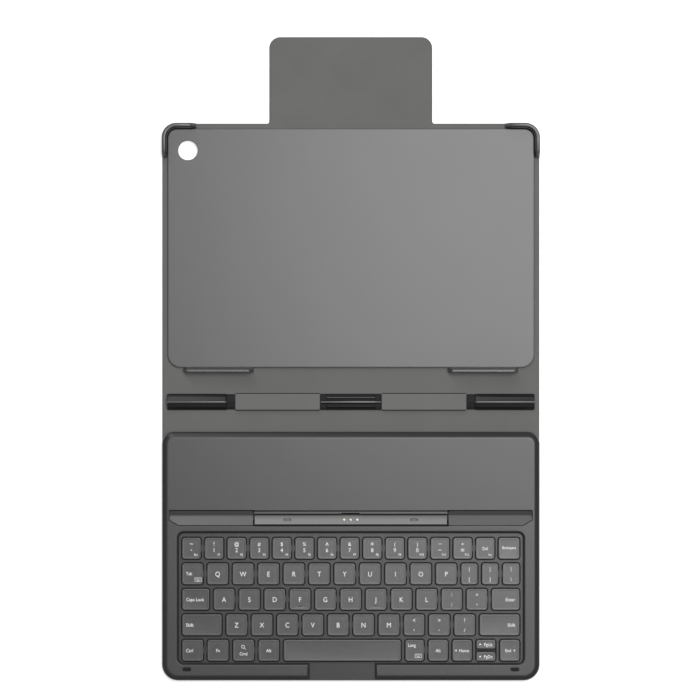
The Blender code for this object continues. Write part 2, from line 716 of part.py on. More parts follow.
# ---------------------------------------------------------------- the connector cradle
def trunnion_axis():
    """(y, z) of the pivot, in the cradle's thick front half."""
    return CRADLE_FRONT + TRUNNION_FROM_FRONT, CRADLE_UNDERSIDE + TRUNNION_HEIGHT


def slope_direction():
    """Unit normal of the sloping floor, as (y, z)."""
    length = math.hypot(GROOVE_SLOPE, 1.0)
    return GROOVE_SLOPE / length, 1.0 / length


def pin_foot():
    """(y, z) on the sloping face where the pins come out."""
    y = (CRADLE_FRONT + CRADLE_REAR) / 2
    return y, groove_floor(y)


def along_normal(x, distance):
    y, z = pin_foot()
    ny, nz = slope_direction()
    return x, y + ny * distance, z + nz * distance


def make_cradle(plastic, brass, board):
    profile = (
        (CRADLE_FRONT, CRADLE_UNDERSIDE), (CRADLE_REAR, CRADLE_UNDERSIDE),
        (CRADLE_REAR, groove_floor(CRADLE_REAR)), (CRADLE_FRONT, groove_floor(CRADLE_FRONT)),
    )
    half = CRADLE_LENGTH / 2
    bar = loft("cradle_bar", [across(profile, -half), across(profile, half)], plastic)
    y, z = trunnion_axis()
    stubs = []
    for side, word in ((-1, "left"), (1, "right")):
        start = (side * (half - TRUNNION_LENGTH), y, z)
        end = (side * (half + TRUNNION_LENGTH), y, z)
        stubs.append(round_bar(f"trunnion_{word}", start, end, TRUNNION_RADIUS, plastic))
    combine(bar, "UNION", stubs)

    pin_y = along_normal(0.0, -PIN_DEPTH)[1]
    board_half = CONTACT_BOARD_LENGTH / 2
    board_y = (pin_y - CONTACT_BOARD_WIDTH / 2, pin_y + CONTACT_BOARD_WIDTH / 2)
    recess_top = CRADLE_UNDERSIDE + CONTACT_BOARD_THICKNESS + FIT_GAP
    cutters = [
        box("contact_board_cutter", -board_half - FIT_GAP, board_half + FIT_GAP, board_y[0] - FIT_GAP,
            board_y[1] + FIT_GAP, CRADLE_UNDERSIDE - FIT_GAP, recess_top, plastic)
    ]
    for x in pin_x():
        cutters.append(
            round_bar("pin_hole", along_normal(x, -PIN_DEPTH - KEY_TRAVEL), along_normal(x, PIN_RISE),
                      PIN_RADIUS + FIT_GAP, plastic)
        )
    combine(bar, "DIFFERENCE", cutters)
    contact = box(
        "contact_board", -board_half, board_half, board_y[0], board_y[1],
        CRADLE_UNDERSIDE, CRADLE_UNDERSIDE + CONTACT_BOARD_THICKNESS, board,
    )
    pins = []
    for number, x in enumerate(pin_x(), 1):
        pins.append(
            round_bar(f"pogo_pin_{number}", along_normal(x, -PIN_DEPTH), along_normal(x, PIN_RISE),
                      PIN_RADIUS, brass)
        )
    return bar, contact, pins


def pin_x():
    return -PIN_PITCH, 0.0, PIN_PITCH


# ---------------------------------------------------------------- assembly
def build():
    clear_scene()
    leather = material("cover_lining", (0.15, 0.15, 0.145), 0.75)
    holder_plastic = material("holder_plastic", (0.20, 0.20, 0.20), 0.55)
    deck_plastic = material("deck_plastic", (0.14, 0.14, 0.14), 0.50)
    key_plastic = material("key_plastic", (0.13, 0.13, 0.13), 0.45)
    cradle_plastic = material("cradle_plastic", (0.18, 0.18, 0.18), 0.45)
    rubber = material("rubber", (0.01, 0.01, 0.01), 0.80)
    steel = material("spine_steel", (0.10, 0.10, 0.10), 0.35, 0.6)
    brass = material("pin_brass", (0.85, 0.76, 0.52), 0.25, 1.0)
    film = material("membrane_film", (0.30, 0.30, 0.28), 0.60)
    board = material("circuit_board", (0.02, 0.12, 0.05), 0.50)

    skins = make_cover(leather)
    tray = make_holder(holder_plastic)
    spine_pieces = make_spine_bar(steel, leather, deck_plastic)
    make_deck(deck_plastic, rubber, film, board)
    bar, contact, pins = make_cradle(cradle_plastic, brass, board)
    keys = [make_key(name, caps, key_plastic) for name, caps in key_places()]

    spine = turn_about("spine_fold", (0.0, FOLD_DECK, FOLD_LEVEL), [skins["spine_skin"], *spine_pieces])
    panel = turn_about("panel_fold", (0.0, FOLD_PANEL, FOLD_LEVEL), [skins["lower_panel_skin"]])
    swing = turn_about("tray_swing", (0.0, FOLD_SWING, FOLD_LEVEL), [skins["upper_panel_skin"], tray])
    flap = turn_about("flap_fold", (0.0, FOLD_FLAP, FOLD_LEVEL), [skins["flap_bridge"]])
    tab = turn_about("tab_fold", (0.0, FOLD_TAB, FOLD_LEVEL), [skins["flap_tab"]])
    for child, parent in ((panel, spine), (swing, panel), (flap, swing), (tab, flap)):
        child.parent = parent
        child.matrix_parent_inverse.translation = [-value for value in parent.location]
    turn_about("cradle_tilt", (0.0, *trunnion_axis()), [bar, contact, *pins])
    for key in keys:
        turn_about(f"{key.name}_slide", (0.0, 0.0, KEY_PLATE), [key])


build()
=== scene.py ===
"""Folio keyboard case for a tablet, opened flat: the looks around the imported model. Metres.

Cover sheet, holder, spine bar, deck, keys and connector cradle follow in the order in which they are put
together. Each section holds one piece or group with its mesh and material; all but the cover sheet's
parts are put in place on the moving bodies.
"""

import json
import math

import bmesh
import bpy
import numpy as np
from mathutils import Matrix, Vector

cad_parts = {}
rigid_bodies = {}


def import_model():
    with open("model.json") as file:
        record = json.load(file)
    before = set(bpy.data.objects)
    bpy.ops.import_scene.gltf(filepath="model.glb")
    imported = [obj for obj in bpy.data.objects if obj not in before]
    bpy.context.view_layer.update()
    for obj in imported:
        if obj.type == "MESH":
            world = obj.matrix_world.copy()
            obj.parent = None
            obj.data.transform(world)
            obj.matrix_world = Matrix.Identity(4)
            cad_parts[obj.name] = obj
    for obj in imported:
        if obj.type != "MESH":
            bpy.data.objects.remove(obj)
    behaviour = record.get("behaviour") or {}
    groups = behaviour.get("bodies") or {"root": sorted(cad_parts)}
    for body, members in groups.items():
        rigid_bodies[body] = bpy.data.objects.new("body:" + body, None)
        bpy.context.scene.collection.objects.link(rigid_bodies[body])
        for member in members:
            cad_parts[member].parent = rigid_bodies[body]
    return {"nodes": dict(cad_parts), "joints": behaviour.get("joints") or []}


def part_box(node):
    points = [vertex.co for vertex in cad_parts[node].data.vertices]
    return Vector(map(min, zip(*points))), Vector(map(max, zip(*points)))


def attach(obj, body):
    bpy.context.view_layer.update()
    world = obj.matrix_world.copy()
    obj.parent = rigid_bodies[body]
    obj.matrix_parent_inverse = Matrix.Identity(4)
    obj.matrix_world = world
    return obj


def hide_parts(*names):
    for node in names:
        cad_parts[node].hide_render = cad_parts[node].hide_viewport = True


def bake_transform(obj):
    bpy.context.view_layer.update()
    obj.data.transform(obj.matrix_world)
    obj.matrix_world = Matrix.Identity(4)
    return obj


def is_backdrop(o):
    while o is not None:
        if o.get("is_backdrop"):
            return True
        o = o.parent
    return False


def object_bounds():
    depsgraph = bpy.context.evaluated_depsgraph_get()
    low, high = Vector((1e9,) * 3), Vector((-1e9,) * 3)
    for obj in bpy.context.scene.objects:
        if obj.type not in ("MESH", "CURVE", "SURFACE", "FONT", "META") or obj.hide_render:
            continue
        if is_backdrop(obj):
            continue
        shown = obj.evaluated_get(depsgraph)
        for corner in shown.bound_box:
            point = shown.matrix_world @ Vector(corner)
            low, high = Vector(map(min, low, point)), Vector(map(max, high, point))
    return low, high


for leftover in list(bpy.data.objects):
    bpy.data.objects.remove(leftover)
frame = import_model()
cad_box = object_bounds()
nodes = frame["nodes"]
pivots = {joint["name"]: joint["pos_m"][1:] for joint in frame["joints"] if joint["type"] == "hinge"}
cradle_pivot = pivots.pop("cradle_tilt")
fold_y = {name: place[0] for name, place in pivots.items()}


# ------------------------------------------------------------------------------------------ cover sheet
# One sheet under everything: board stiffeners between an outer leatherette and a smooth lining,
# bonded, trimmed and pressed round the edge. Five folds cross it where there is no board.
class Value:
    """A number that a node gives; arithmetic on it adds Math nodes to its tree."""

    def __init__(self, tree, socket):
        self.tree = tree
        self.socket = socket

    def math(self, operation, *others, turned=False):
        made = self.tree.nodes.new("ShaderNodeMath")
        made.operation = operation
        given = [self, *others]
        if turned:
            given.reverse()
        for entry, value in zip(made.inputs, given):
            connect(self.tree, entry, value)
        return Value(self.tree, made.outputs[0])

    def __add__(self, other):
        return self.math("ADD", other)

    __radd__ = __add__

    def __sub__(self, other):
        return self.math("SUBTRACT", other)

    def __rsub__(self, other):
        return self.math("SUBTRACT", other, turned=True)

    def __mul__(self, other):
        return self.math("MULTIPLY", other)

    __rmul__ = __mul__

    def __truediv__(self, other):
        return self.math("DIVIDE", other)

    def distance(self, other):
        return (self - other).math("ABSOLUTE")

    def between(self, low, high):
        """0 below low, 1 above high, and a smooth step between them; low may be above high."""
        share = (self - low) / (high - low)
        share = share.math("MAXIMUM", 0.0).math("MINIMUM", 1.0)
        return share * share * (3.0 - 2.0 * share)


def connect(tree, entry, value):
    """Links a node's output to an input, or sets the input to a plain number, colour or vector."""
    if isinstance(value, Value):
        value = value.socket
    if isinstance(value, bpy.types.NodeSocket):
        tree.links.new(value, entry)
    elif isinstance(value, tuple) and len(value) == 3 and entry.type == "RGBA":
        entry.default_value = (*value, 1.0)
    else:
        entry.default_value = value


class Finish:
    """One material: a Principled shader, and the pattern nodes that feed it."""

    def __init__(self, name, **settings):
        self.material = bpy.data.materials.new(name)
        self.material.use_nodes = True
        self.tree = self.material.node_tree
        self.shader = self.tree.nodes["Principled BSDF"]
        self.place = self.node("ShaderNodeTexCoord").outputs["Object"]
        split = self.node("ShaderNodeSeparateXYZ", {}, {"Vector": self.place})
        self.x, self.y, self.z = (Value(self.tree, socket) for socket in split.outputs)
        self.give(**settings)

    def node(self, kind, settings=None, inputs=None):
        made = self.tree.nodes.new(kind)
        for name, value in (settings or {}).items():
            setattr(made, name, value)
        for name, value in (inputs or {}).items():
            connect(self.tree, made.inputs[name], value)
        return made

    def give(self, **settings):
        """Sets or links the shader's inputs; an underscore stands for a space in their names."""
        for name, value in settings.items():
            label = name.replace("_", " ").title().replace("Ior", "IOR")
            connect(self.tree, self.shader.inputs[label], value)

    def stretched(self, stretch):
        """The place on the object, each axis multiplied by its own factor."""
        return self.node("ShaderNodeMapping", {}, {"Vector": self.place, "Scale": stretch}).outputs["Vector"]

    def noise(self, size, detail=3.0, roughness=0.55, stretch=(1.0, 1.0, 1.0)):
        """Cloudy noise whose blotches are about size across, from 0 to 1."""
        inputs = {"Vector": self.stretched(stretch), "Scale": 1.0 / size, "Detail": detail}
        made = self.node("ShaderNodeTexNoise", {}, {**inputs, "Roughness": roughness})
        return Value(self.tree, made.outputs["Fac"])

    def cells(self, size, feature="F1", stretch=(1.0, 1.0, 1.0)):
        """Distance within cells about size across: to the centre for F1, to the border otherwise."""
        inputs = {"Vector": self.stretched(stretch), "Scale": 1.0 / size, "Randomness": 1.0}
        made = self.node("ShaderNodeTexVoronoi", {"feature": feature}, inputs)
        return Value(self.tree, made.outputs["Distance"])

    def mix(self, share, low, high):
        """A colour that goes from low to high with share."""
        made = self.node("ShaderNodeMix", {"data_type": "RGBA"})
        for entry, value in zip((made.inputs[0], made.inputs[6], made.inputs[7]), (share, low, high)):
            connect(self.tree, entry, value)
        return made.outputs[2]

    def relief(self, height, depth, over=None):
        """Normals of a surface that rises by height times depth, on top of another relief."""
        inputs = {"Height": height, "Distance": depth, "Strength": 1.0}
        if over is not None:
            inputs["Normal"] = over
        return self.node("ShaderNodeBump", {}, inputs).outputs["Normal"]


def grey(tone):
    """A colour with the same amount of red, green and blue."""
    return (tone, tone, tone)


def lining_finish(name, shade):
    """Smooth leatherette: a very fine even grain, faint clouds of tone and a slightly rubbed sheen."""
    finish = Finish(name, specular_ior_level=0.35)
    light = np.array((1.0, 1.0, 0.97)) * shade
    grain = finish.cells(0.00042) * 0.7 + finish.noise(0.0009) * 0.6
    clouds = finish.noise(0.045, 2.0)
    tone = clouds.between(0.35, 0.65) * 0.75 + grain * 0.25
    finish.give(base_color=finish.mix(tone, tuple(0.120 * light), tuple(0.129 * light)))
    finish.give(roughness=0.66 + 0.14 * finish.noise(0.012))
    finish.give(normal=finish.relief(grain, 0.00004))
    return finish.material


def outer_leather_finish():
    """Pebbled leatherette: raised grains between fine creases, darker and duller in the creases."""
    finish = Finish("outer_leatherette", specular_ior_level=0.45)
    warp = finish.noise(0.004, 2.0)
    border = finish.cells(0.0013, "DISTANCE_TO_EDGE", (1.0, 0.8, 1.0))
    fine = finish.cells(0.0006, "DISTANCE_TO_EDGE")
    pebble = border.between(0.0, 0.16) * 0.75 + fine.between(0.0, 0.2) * 0.25
    tone = pebble * 0.8 + warp * 0.2
    finish.give(base_color=finish.mix(tone, (0.050, 0.050, 0.048), (0.092, 0.092, 0.089)))
    finish.give(roughness=0.72 - 0.20 * pebble + 0.08 * warp)
    finish.give(normal=finish.relief(pebble + 0.4 * finish.noise(0.0003), 0.00010))
    return finish.material


def arc(x, y, radius, start, end, steps=10):
    """Points on a circle at even angles from start to end, in degrees."""
    angle = np.radians(np.linspace(start, end, steps + 1))
    return np.stack([x + radius * np.cos(angle), y + radius * np.sin(angle)], 1)


def rounded(x0, x1, y0, y1, radius, steps=8):
    """Anticlockwise rectangle with rounded corners; radius is one value, or front and rear ones."""
    front, rear = np.broadcast_to(radius, 2)
    return np.concatenate([
        arc(x1 - front, y0 + front, front, -90, 0, steps), arc(x1 - rear, y1 - rear, rear, 0, 90, steps),
        arc(x0 + rear, y1 - rear, rear, 90, 180, steps), arc(x0 + front, y0 + front, front, 180, 270, steps),
    ])


def inward(outline):
    """For each point of a closed outline, the move that takes both its sides in by one unit."""
    side = np.roll(outline, -1, 0) - outline
    side /= np.linalg.norm(side, axis=1)[:, None]
    normal = np.stack([-side[:, 1], side[:, 0]], 1)
    before = np.roll(normal, 1, 0)
    return (normal + before) / (1.0 + (normal * before).sum(1))[:, None]


def skin_of(name, rings, finishes, angle=35.0):
    """A closed body through rings, an array (ring, point, xyz), with one flat face on each end."""
    rings = np.asarray(rings, float)
    count, points = rings.shape[:2]
    index = np.arange(count * points).reshape(count, points)
    ahead = np.roll(index, -1, 1)
    quads = np.stack([index[:-1], ahead[:-1], ahead[1:], index[1:]], -1).reshape(-1, 4)
    mesh = bpy.data.meshes.new(name)
    faces = quads.tolist() + [index[0, ::-1].tolist(), index[-1].tolist()]
    mesh.from_pydata(rings.reshape(-1, 3).tolist(), [], faces)
    return finished(name, mesh, finishes, angle)


def finished(name, mesh, finishes, angle=35.0):
    """Turns a closed mesh's faces out, smooths it but for edges over the angle, and shows it."""
    work = bmesh.new()
    work.from_mesh(mesh)
    if work.calc_volume(signed=True) < 0.0:
        bmesh.ops.reverse_faces(work, faces=work.faces)
    work.to_mesh(mesh)
    work.free()
    mesh.shade_smooth()
    mesh.set_sharp_from_angle(angle=math.radians(angle))
    for finish in finishes:
        mesh.materials.append(finish)
    obj = bpy.data.objects.new(name, mesh)
    bpy.context.scene.collection.objects.link(obj)
    return obj


def stepped(outline, levels):
    """The outline moved in by each level's first number, and the levels' heights as a column."""
    levels = np.asarray(levels, float)
    return outline[None] + levels[:, 0, None, None] * inward(outline)[None], levels[:, 1, None]


def slab(name, outline, levels, finishes, angle=35.0):
    """A closed body whose rings are one outline, each moved in and up by a pair of levels."""
    flat, up = stepped(outline, levels)
    height = np.broadcast_to(up[:, :, None], (*flat.shape[:2], 1))
    return skin_of(name, np.concatenate([flat, height], 2), finishes, angle)


def prism(name, outline, z0, z1, finishes):
    """A closed body with upright walls from z0 to z1."""
    return slab(name, outline, ((0.0, z0), (0.0, z1)), finishes)


def applied(obj):
    """Makes the object's modifiers part of its mesh."""
    graph = bpy.context.evaluated_depsgraph_get()
    mesh = bpy.data.meshes.new_from_object(obj.evaluated_get(graph))
    obj.modifiers.clear()
    obj.data = mesh
    mesh.name = obj.name
    return obj


def evened(obj, angle=35.0):
    """Smooths a cut body but for edges over the angle, and keeps its large faces flat in the light."""
    obj.data.shade_smooth()
    obj.data.set_sharp_from_angle(angle=math.radians(angle))
    modifier = obj.modifiers.new("even", "WEIGHTED_NORMAL")
    modifier.weight = 100
    modifier.keep_sharp = True
    return applied(obj)


def carve(obj, operation, others, angle=35.0):
    """Adds the other closed bodies to obj, or cuts them from it, and removes them."""
    group = bpy.data.collections.new(obj.name + "_tools")
    for other in others:
        bpy.context.scene.collection.objects.unlink(other)
        group.objects.link(other)
        if not other.data.materials:
            other.data.materials.append(obj.data.materials[0])
    bpy.context.scene.collection.children.link(group)
    modifier = obj.modifiers.new("carve", "BOOLEAN")
    modifier.operation = operation
    modifier.operand_type = "COLLECTION"
    modifier.collection = group
    modifier.solver = "EXACT"
    modifier.material_mode = "TRANSFER"
    applied(obj)
    evened(obj, angle)
    for other in others:
        bpy.data.objects.remove(other)
    bpy.data.collections.remove(group)
    return obj


def rod(name, x, y, z0, z1, radius, steps=48):
    """An upright round cutter."""
    circle = arc(x, y, radius, 0, 360 - 360 / steps, steps - 1)
    return prism(name, circle, z0, z1, [])


def node_box(name):
    """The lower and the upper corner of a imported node."""
    return np.array(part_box(name))


def bisect(work, y, away=1, clear=False):
    """Cuts all faces along the plane at y; with clear, what lies on its away side is dropped."""
    everything = work.verts[:] + work.edges[:] + work.faces[:]
    bmesh.ops.bisect_plane(
        work, geom=everything, dist=1e-7, plane_co=(0, y, 0), plane_no=(0, away, 0), clear_outer=clear
    )


skin_high = node_box("upper_panel_skin")[1]
deck_skin_low = node_box("deck_cover_skin")[0]
tab_high = node_box("flap_tab")[1]
half_width = skin_high[0]
skin_top = skin_high[2]
cover_rear = fold_y["flap_fold"] - 0.0024
flap_root = 0.00145
camera_x, camera_y, camera_radius = -0.1101, 0.1407, 0.0066
lining = lining_finish("cover_lining", 1.0)
leather = outer_leather_finish()

right_side = np.concatenate([
    arc(half_width - 0.011, deck_skin_low[1] + 0.011, 0.011, -90, 0, 14),
    arc(half_width - 0.010, cover_rear - 0.010, 0.010, 0, 90, 14),
    arc(tab_high[0] + flap_root, cover_rear + flap_root, flap_root, -90, -180, 6),
    arc(tab_high[0] - 0.0074, tab_high[1] - 0.0074, 0.0074, 0, 90, 12),
])
cover_outline = np.concatenate([right_side, right_side[::-1] * (-1.0, 1.0)])
# Inset and height: rounded lower edge, trimmed side, rounded upper edge, then the pressed edge line.
cover_levels = (
    (0.00080, 0.0), (0.00035, 0.0), (0.00010, 0.00010), (0.0, 0.00035), (0.0, skin_top - 0.00035),
    (0.00010, skin_top - 0.00010), (0.00035, skin_top), (0.00090, skin_top),
    (0.00105, skin_top - 0.00009), (0.00120, skin_top - 0.00009), (0.00135, skin_top), (0.00180, skin_top),
)
cover = slab("cover_sheet", cover_outline, cover_levels, [leather, lining])
carve(cover, "DIFFERENCE", [rod("camera_bore", camera_x, camera_y, -0.001, 0.003, camera_radius)])

work = bmesh.new()
work.from_mesh(cover.data)
# Rows of edges half a millimetre apart at each fold carry the board gap there.
for line in fold_y.values():
    for offset in np.linspace(-0.003, 0.003, 13):
        bisect(work, line + offset)
for vert in work.verts:
    nearest = min(abs(vert.co.y - line) for line in fold_y.values())
    valley = max(0.0, 1.0 - nearest / 0.0014) ** 2
    vert.co.z += valley * (0.00028 if vert.co.z < skin_top / 2 else -0.00005)
for face in work.faces:
    face.material_index = int(face.normal.z > 0.5)
work.to_mesh(cover.data)
work.free()

# Each part of the sheet is cut out between two lines; a bend over a short length on both sides of the fold
# behind it is worked out, but nothing uses it.
bend_half, bend_height = 0.0025, 0.0008
cover_cuts = (-0.4, -0.0293, 0.005, 0.090, 0.1715, 0.4)
cover_parts = (
    ("cover_deck", "deck", "spine", "spine_fold", ("deck_cover_skin",)),
    ("cover_spine", "spine", "lower_panel", "panel_fold", ("spine_skin",)),
    ("cover_lower", "lower_panel", "holder", "tray_swing", ("lower_panel_skin",)),
    ("cover_upper", "holder", "bridge", "flap_fold", ("upper_panel_skin", "flap_bridge")),
    ("cover_flap", "bridge", "tab", "tab_fold", ("flap_tab",)),
)
for (name, body, next_body, joint, skins), front, rear in zip(cover_parts, cover_cuts, cover_cuts[1:]):
    work = bmesh.new()
    work.from_mesh(cover.data)
    for place, away in ((front, -1), (rear, 1)):
        bisect(work, place, away, True)
        rim = [edge for edge in work.edges if edge.is_boundary]
        if rim:
            bmesh.ops.edgeloop_fill(work, edges=rim, mat_nr=0)
    mesh = bpy.data.meshes.new(name)
    work.to_mesh(mesh)
    work.free()
    part = finished(name, mesh, [leather, lining])
    start, end = ((0, fold_y[joint] + reach, bend_height) for reach in (-bend_half, bend_half))
    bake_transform(part)
    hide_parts(*skins)
bpy.data.objects.remove(cover)


# ------------------------------------------------------------------------------------------ holder tray
# A thin moulded tray is bonded to the rear panel; the tablet snaps in between two corner guards
# and two front lips of the same plastic. A soft black strip lines each guard, and a black bead at
# the foot of each guard's inner wall is painted shade.
def holder_finish():
    """Satin polycarbonate: fine spark texture and slow changes of gloss."""
    finish = Finish("holder_plastic", specular_ior_level=0.40)
    spark = finish.noise(0.00022, 2.0)
    slow = finish.noise(0.06, 1.0)
    tone = spark * 0.6 + slow * 0.4
    finish.give(base_color=finish.mix(tone, (0.066, 0.066, 0.067), (0.076, 0.076, 0.077)))
    finish.give(roughness=0.25 + 0.05 * spark + 0.03 * slow)
    finish.give(normal=finish.relief(spark, 0.000018))
    return finish.material


def liner_finish():
    """Soft black rubber: nearly no shine, with a dusty bloom in patches."""
    finish = Finish("soft_liner", specular_ior_level=0.3)
    bloom = finish.noise(0.0011, 4.0)
    finish.give(base_color=finish.mix(bloom, grey(0.006), grey(0.020)))
    finish.give(roughness=0.75 + 0.2 * bloom)
    finish.give(normal=finish.relief(finish.noise(0.0003), 0.00002))
    return finish.material


def sweep(name, path, normal, profile, scale, foot, finishes, angle=35.0):
    """A profile of (inward distance, height) carried along a path of (x, y) points. At each point
    the inward distance runs along the normal, and heights over the foot shrink by the scale."""
    height = foot + (profile[None, :, 1] - foot) * np.maximum(scale, 0.0)[:, None]
    flat = path[:, None] + profile[None, :, 0, None] * normal[:, None]
    return skin_of(name, np.concatenate([flat, height[:, :, None]], 2), finishes, angle=angle)


tray_low, tray_high = node_box("holder_tray")
tray_half, tray_front, tray_rear = 0.1239, -0.0062, 0.1553
tray_base, tray_floor, guard_top = tray_low[2], 0.0034, tray_high[2]
holder_plastic = holder_finish()
black_liner = liner_finish()

tray_outline = rounded(-tray_half, tray_half, tray_front, tray_rear, (0.0090, 0.0064), 10)
tray_levels = (
    (0.00060, tray_base), (0.00015, tray_base), (0.0, tray_base + 0.00015), (0.0, tray_floor - 0.00040),
    (0.00012, tray_floor - 0.00012), (0.00040, tray_floor), (0.00090, tray_floor),
)
tray = slab("tray_plate", tray_outline, tray_levels, [holder_plastic])
bore = arc(camera_x, camera_y, camera_radius, 0, 352.5, 47)
bore_levels = (
    (0.0, tray_base - 0.001), (0.0, tray_floor - 0.00045), (-0.00016, tray_floor - 0.00014),
    (-0.00050, tray_floor), (-0.00060, tray_floor + 0.0005),
)
carve(tray, "DIFFERENCE", [slab("camera_chamfer", bore, bore_levels, [])])

guard_profile = np.array((
    (0.0, tray_base), (0.0, guard_top - 0.0012), (0.00010, guard_top - 0.0006),
    (0.00030, guard_top - 0.00016),
    (0.00060, guard_top), (0.00235, guard_top), (0.00255, guard_top - 0.00012), (0.00262, guard_top - 0.0004),
    (0.00268, 0.0046), (0.00290, 0.0043), (0.00294, 0.0064), (0.00302, 0.00655), (0.00318, 0.00655),
    (0.00326, 0.0064), (0.00332, 0.0042), (0.0040, tray_floor + 0.0001), (0.0044, tray_base + 0.0004),
    (0.0044, tray_base),
))
# The first strip is the black rubber face of the guard's inner wall; the second, a black bead at the wall's
# foot, is painted shade for the gap where the wall meets the tray.
liner_and_shade_profiles = (
    np.array(((0.00264, 0.0044), (0.00260, 0.0085), (0.00268, 0.0088), (0.00278, 0.0086), (0.00292, 0.0056),
              (0.00292, 0.0044))),
    np.array(((0.0033, 0.0036), (0.00328, 0.0052), (0.0034, 0.0054), (0.0036, 0.0053), (0.0039, 0.0040),
              (0.0041, 0.0036))),
)
corner_radius = 0.010
leg = 0.0230 - corner_radius
for side, word in ((-1, "left"), (1, "right")):
    turn = np.linspace(90, 0, 15)
    centre = np.array((side * (half_width - corner_radius), cover_rear - corner_radius))
    out = np.stack([side * np.cos(np.radians(turn)), np.sin(np.radians(turn))], 1)
    runs = np.array((leg, leg - 0.0008, leg - 0.0022, leg - 0.0032, leg - 0.0040))
    rear_leg = np.stack([centre[0] - side * runs, np.full(5, cover_rear)], 1)
    side_leg = np.stack([np.full(5, side * half_width), centre[1] - runs[::-1]], 1)
    path = np.concatenate([rear_leg, centre + corner_radius * out, side_leg])
    normal = np.concatenate([np.tile((0.0, -1.0), (5, 1)), -out, np.tile((-side, 0.0), (5, 1))])
    fall = np.array((0.30, 0.50, 0.82, 0.96, 1.0))
    scale = np.concatenate([fall, np.ones(15), fall[::-1]])
    guard = sweep(f"guard_{word}", path, normal, guard_profile, scale, tray_base, [holder_plastic], 50)
    strips = [
        sweep(f"liner_strip_{number}", path, normal, profile, scale, tray_base, [black_liner])
        for number, profile in enumerate(liner_and_shade_profiles)
    ]
    liner_and_shade = carve(strips[0], "UNION", strips[1:])
    liner_and_shade.name = f"guard_liner_{word}"
    for piece, slot in ((guard, "holder"), (liner_and_shade, "rubber")):
        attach(piece, "holder")

lip_profile = np.array((
    (0.0, tray_base), (0.0, guard_top - 0.0009), (0.00012, guard_top - 0.0004), (0.00045, guard_top),
    (0.00185, guard_top), (0.00215, guard_top - 0.00025), (0.0023, guard_top - 0.0010), (0.0025, 0.0052),
    (0.0032, tray_floor + 0.0001), (0.0035, tray_base + 0.0004), (0.0035, tray_base),
))
lip_half, lip_end, lip_centre = 0.0207, 0.0237, 0.0893
for side, word in ((-1, "left"), (1, "right")):
    rise = np.array((lip_half, lip_half + 0.0008, lip_end - 0.0006, lip_end))
    offset = np.concatenate([-rise[::-1], rise])
    scale = np.array((0.2, 0.35, 0.85, 1.0, 1.0, 0.85, 0.35, 0.2))
    path = np.stack([side * lip_centre + offset, np.full(8, tray_front - 0.0030)], 1)
    normal = np.tile((0.0, 1.0), (8, 1))
    lip = sweep(f"lip_{word}", path, normal, lip_profile, scale, tray_base, [holder_plastic], 50)
    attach(lip, "holder")
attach(tray, "holder")
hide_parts("holder_tray")


# ------------------------------------------------------------------------------------------ spine bar
# Two moulded bars with sloping flanks, two flat pads covered in the lining and a ribbed rail stand in
# one line on the spine strip, glued down, and fill the spine when the case is shut.
def bar_finish(name, middle, foot, flank, ends, through):
    """Semi-gloss black plastic, dull black, with a painted highlight along the crest and painted light on a
    band either side of it, stronger on the rear side.
    """
    finish = Finish(name, specular_ior_level=0.36)
    streak = finish.noise(0.0006, 3.0, stretch=(0.08, 1.0, 1.0))
    away = finish.y.distance(middle)
    # Painted highlight: a lighter tone along the crest, where the bar would catch the overhead light.
    crest_highlight = away.between(0.00062, 0.00042)
    rear = finish.y.between(middle - 0.0004, middle + 0.0004)
    # Painted light on a band either side of the crest, stronger on the rear side; the end blocks get none.
    sheen_mask = away.between(flank + 0.0002, flank) * (0.2 + 0.15 * rear)
    body = finish.x.distance(0.0).between(*ends)
    upper = finish.z.between(foot + 0.0012, foot + 0.0016)
    tone = finish.mix(sheen_mask * body, grey(0.007), (0.050, 0.050, 0.049))
    finish.give(base_color=finish.mix(crest_highlight * (body + through * (1.0 - body)), tone, (0.105, 0.105, 0.103)))
    finish.give(roughness=0.70 - 0.38 * body * upper + 0.10 * streak)
    finish.give(normal=finish.relief(streak, 0.000012))
    return finish.material


def both_sides(reach, level):
    """A section: its points up the rear side, then down the front side."""
    return np.concatenate([np.stack([reach, level], 1), np.stack([-reach, level], 1)[::-1]])


bar_low, bar_high = node_box("spine_bar_right")
pad_low, pad_high = node_box("spine_pad_right")
rail_low, rail_high = node_box("spine_centre_rail")
spine_y = (bar_low[1] + bar_high[1]) / 2
half_bar = (bar_high[1] - bar_low[1]) / 2
bar_ends = (bar_high[0] - 0.0404, bar_high[0] - 0.0402)
rail_ends = (rail_high[0] - 0.0040, rail_high[0] - 0.0042)
bar_plastic = bar_finish("spine_bar_plastic", spine_y, bar_low[2], 0.0032, bar_ends, 0.0)
rail_plastic = bar_finish("rail_plastic", spine_y, bar_low[2], 0.0, rail_ends, 1.0)
pad_lining = lining_finish("pad_lining", 1.10)

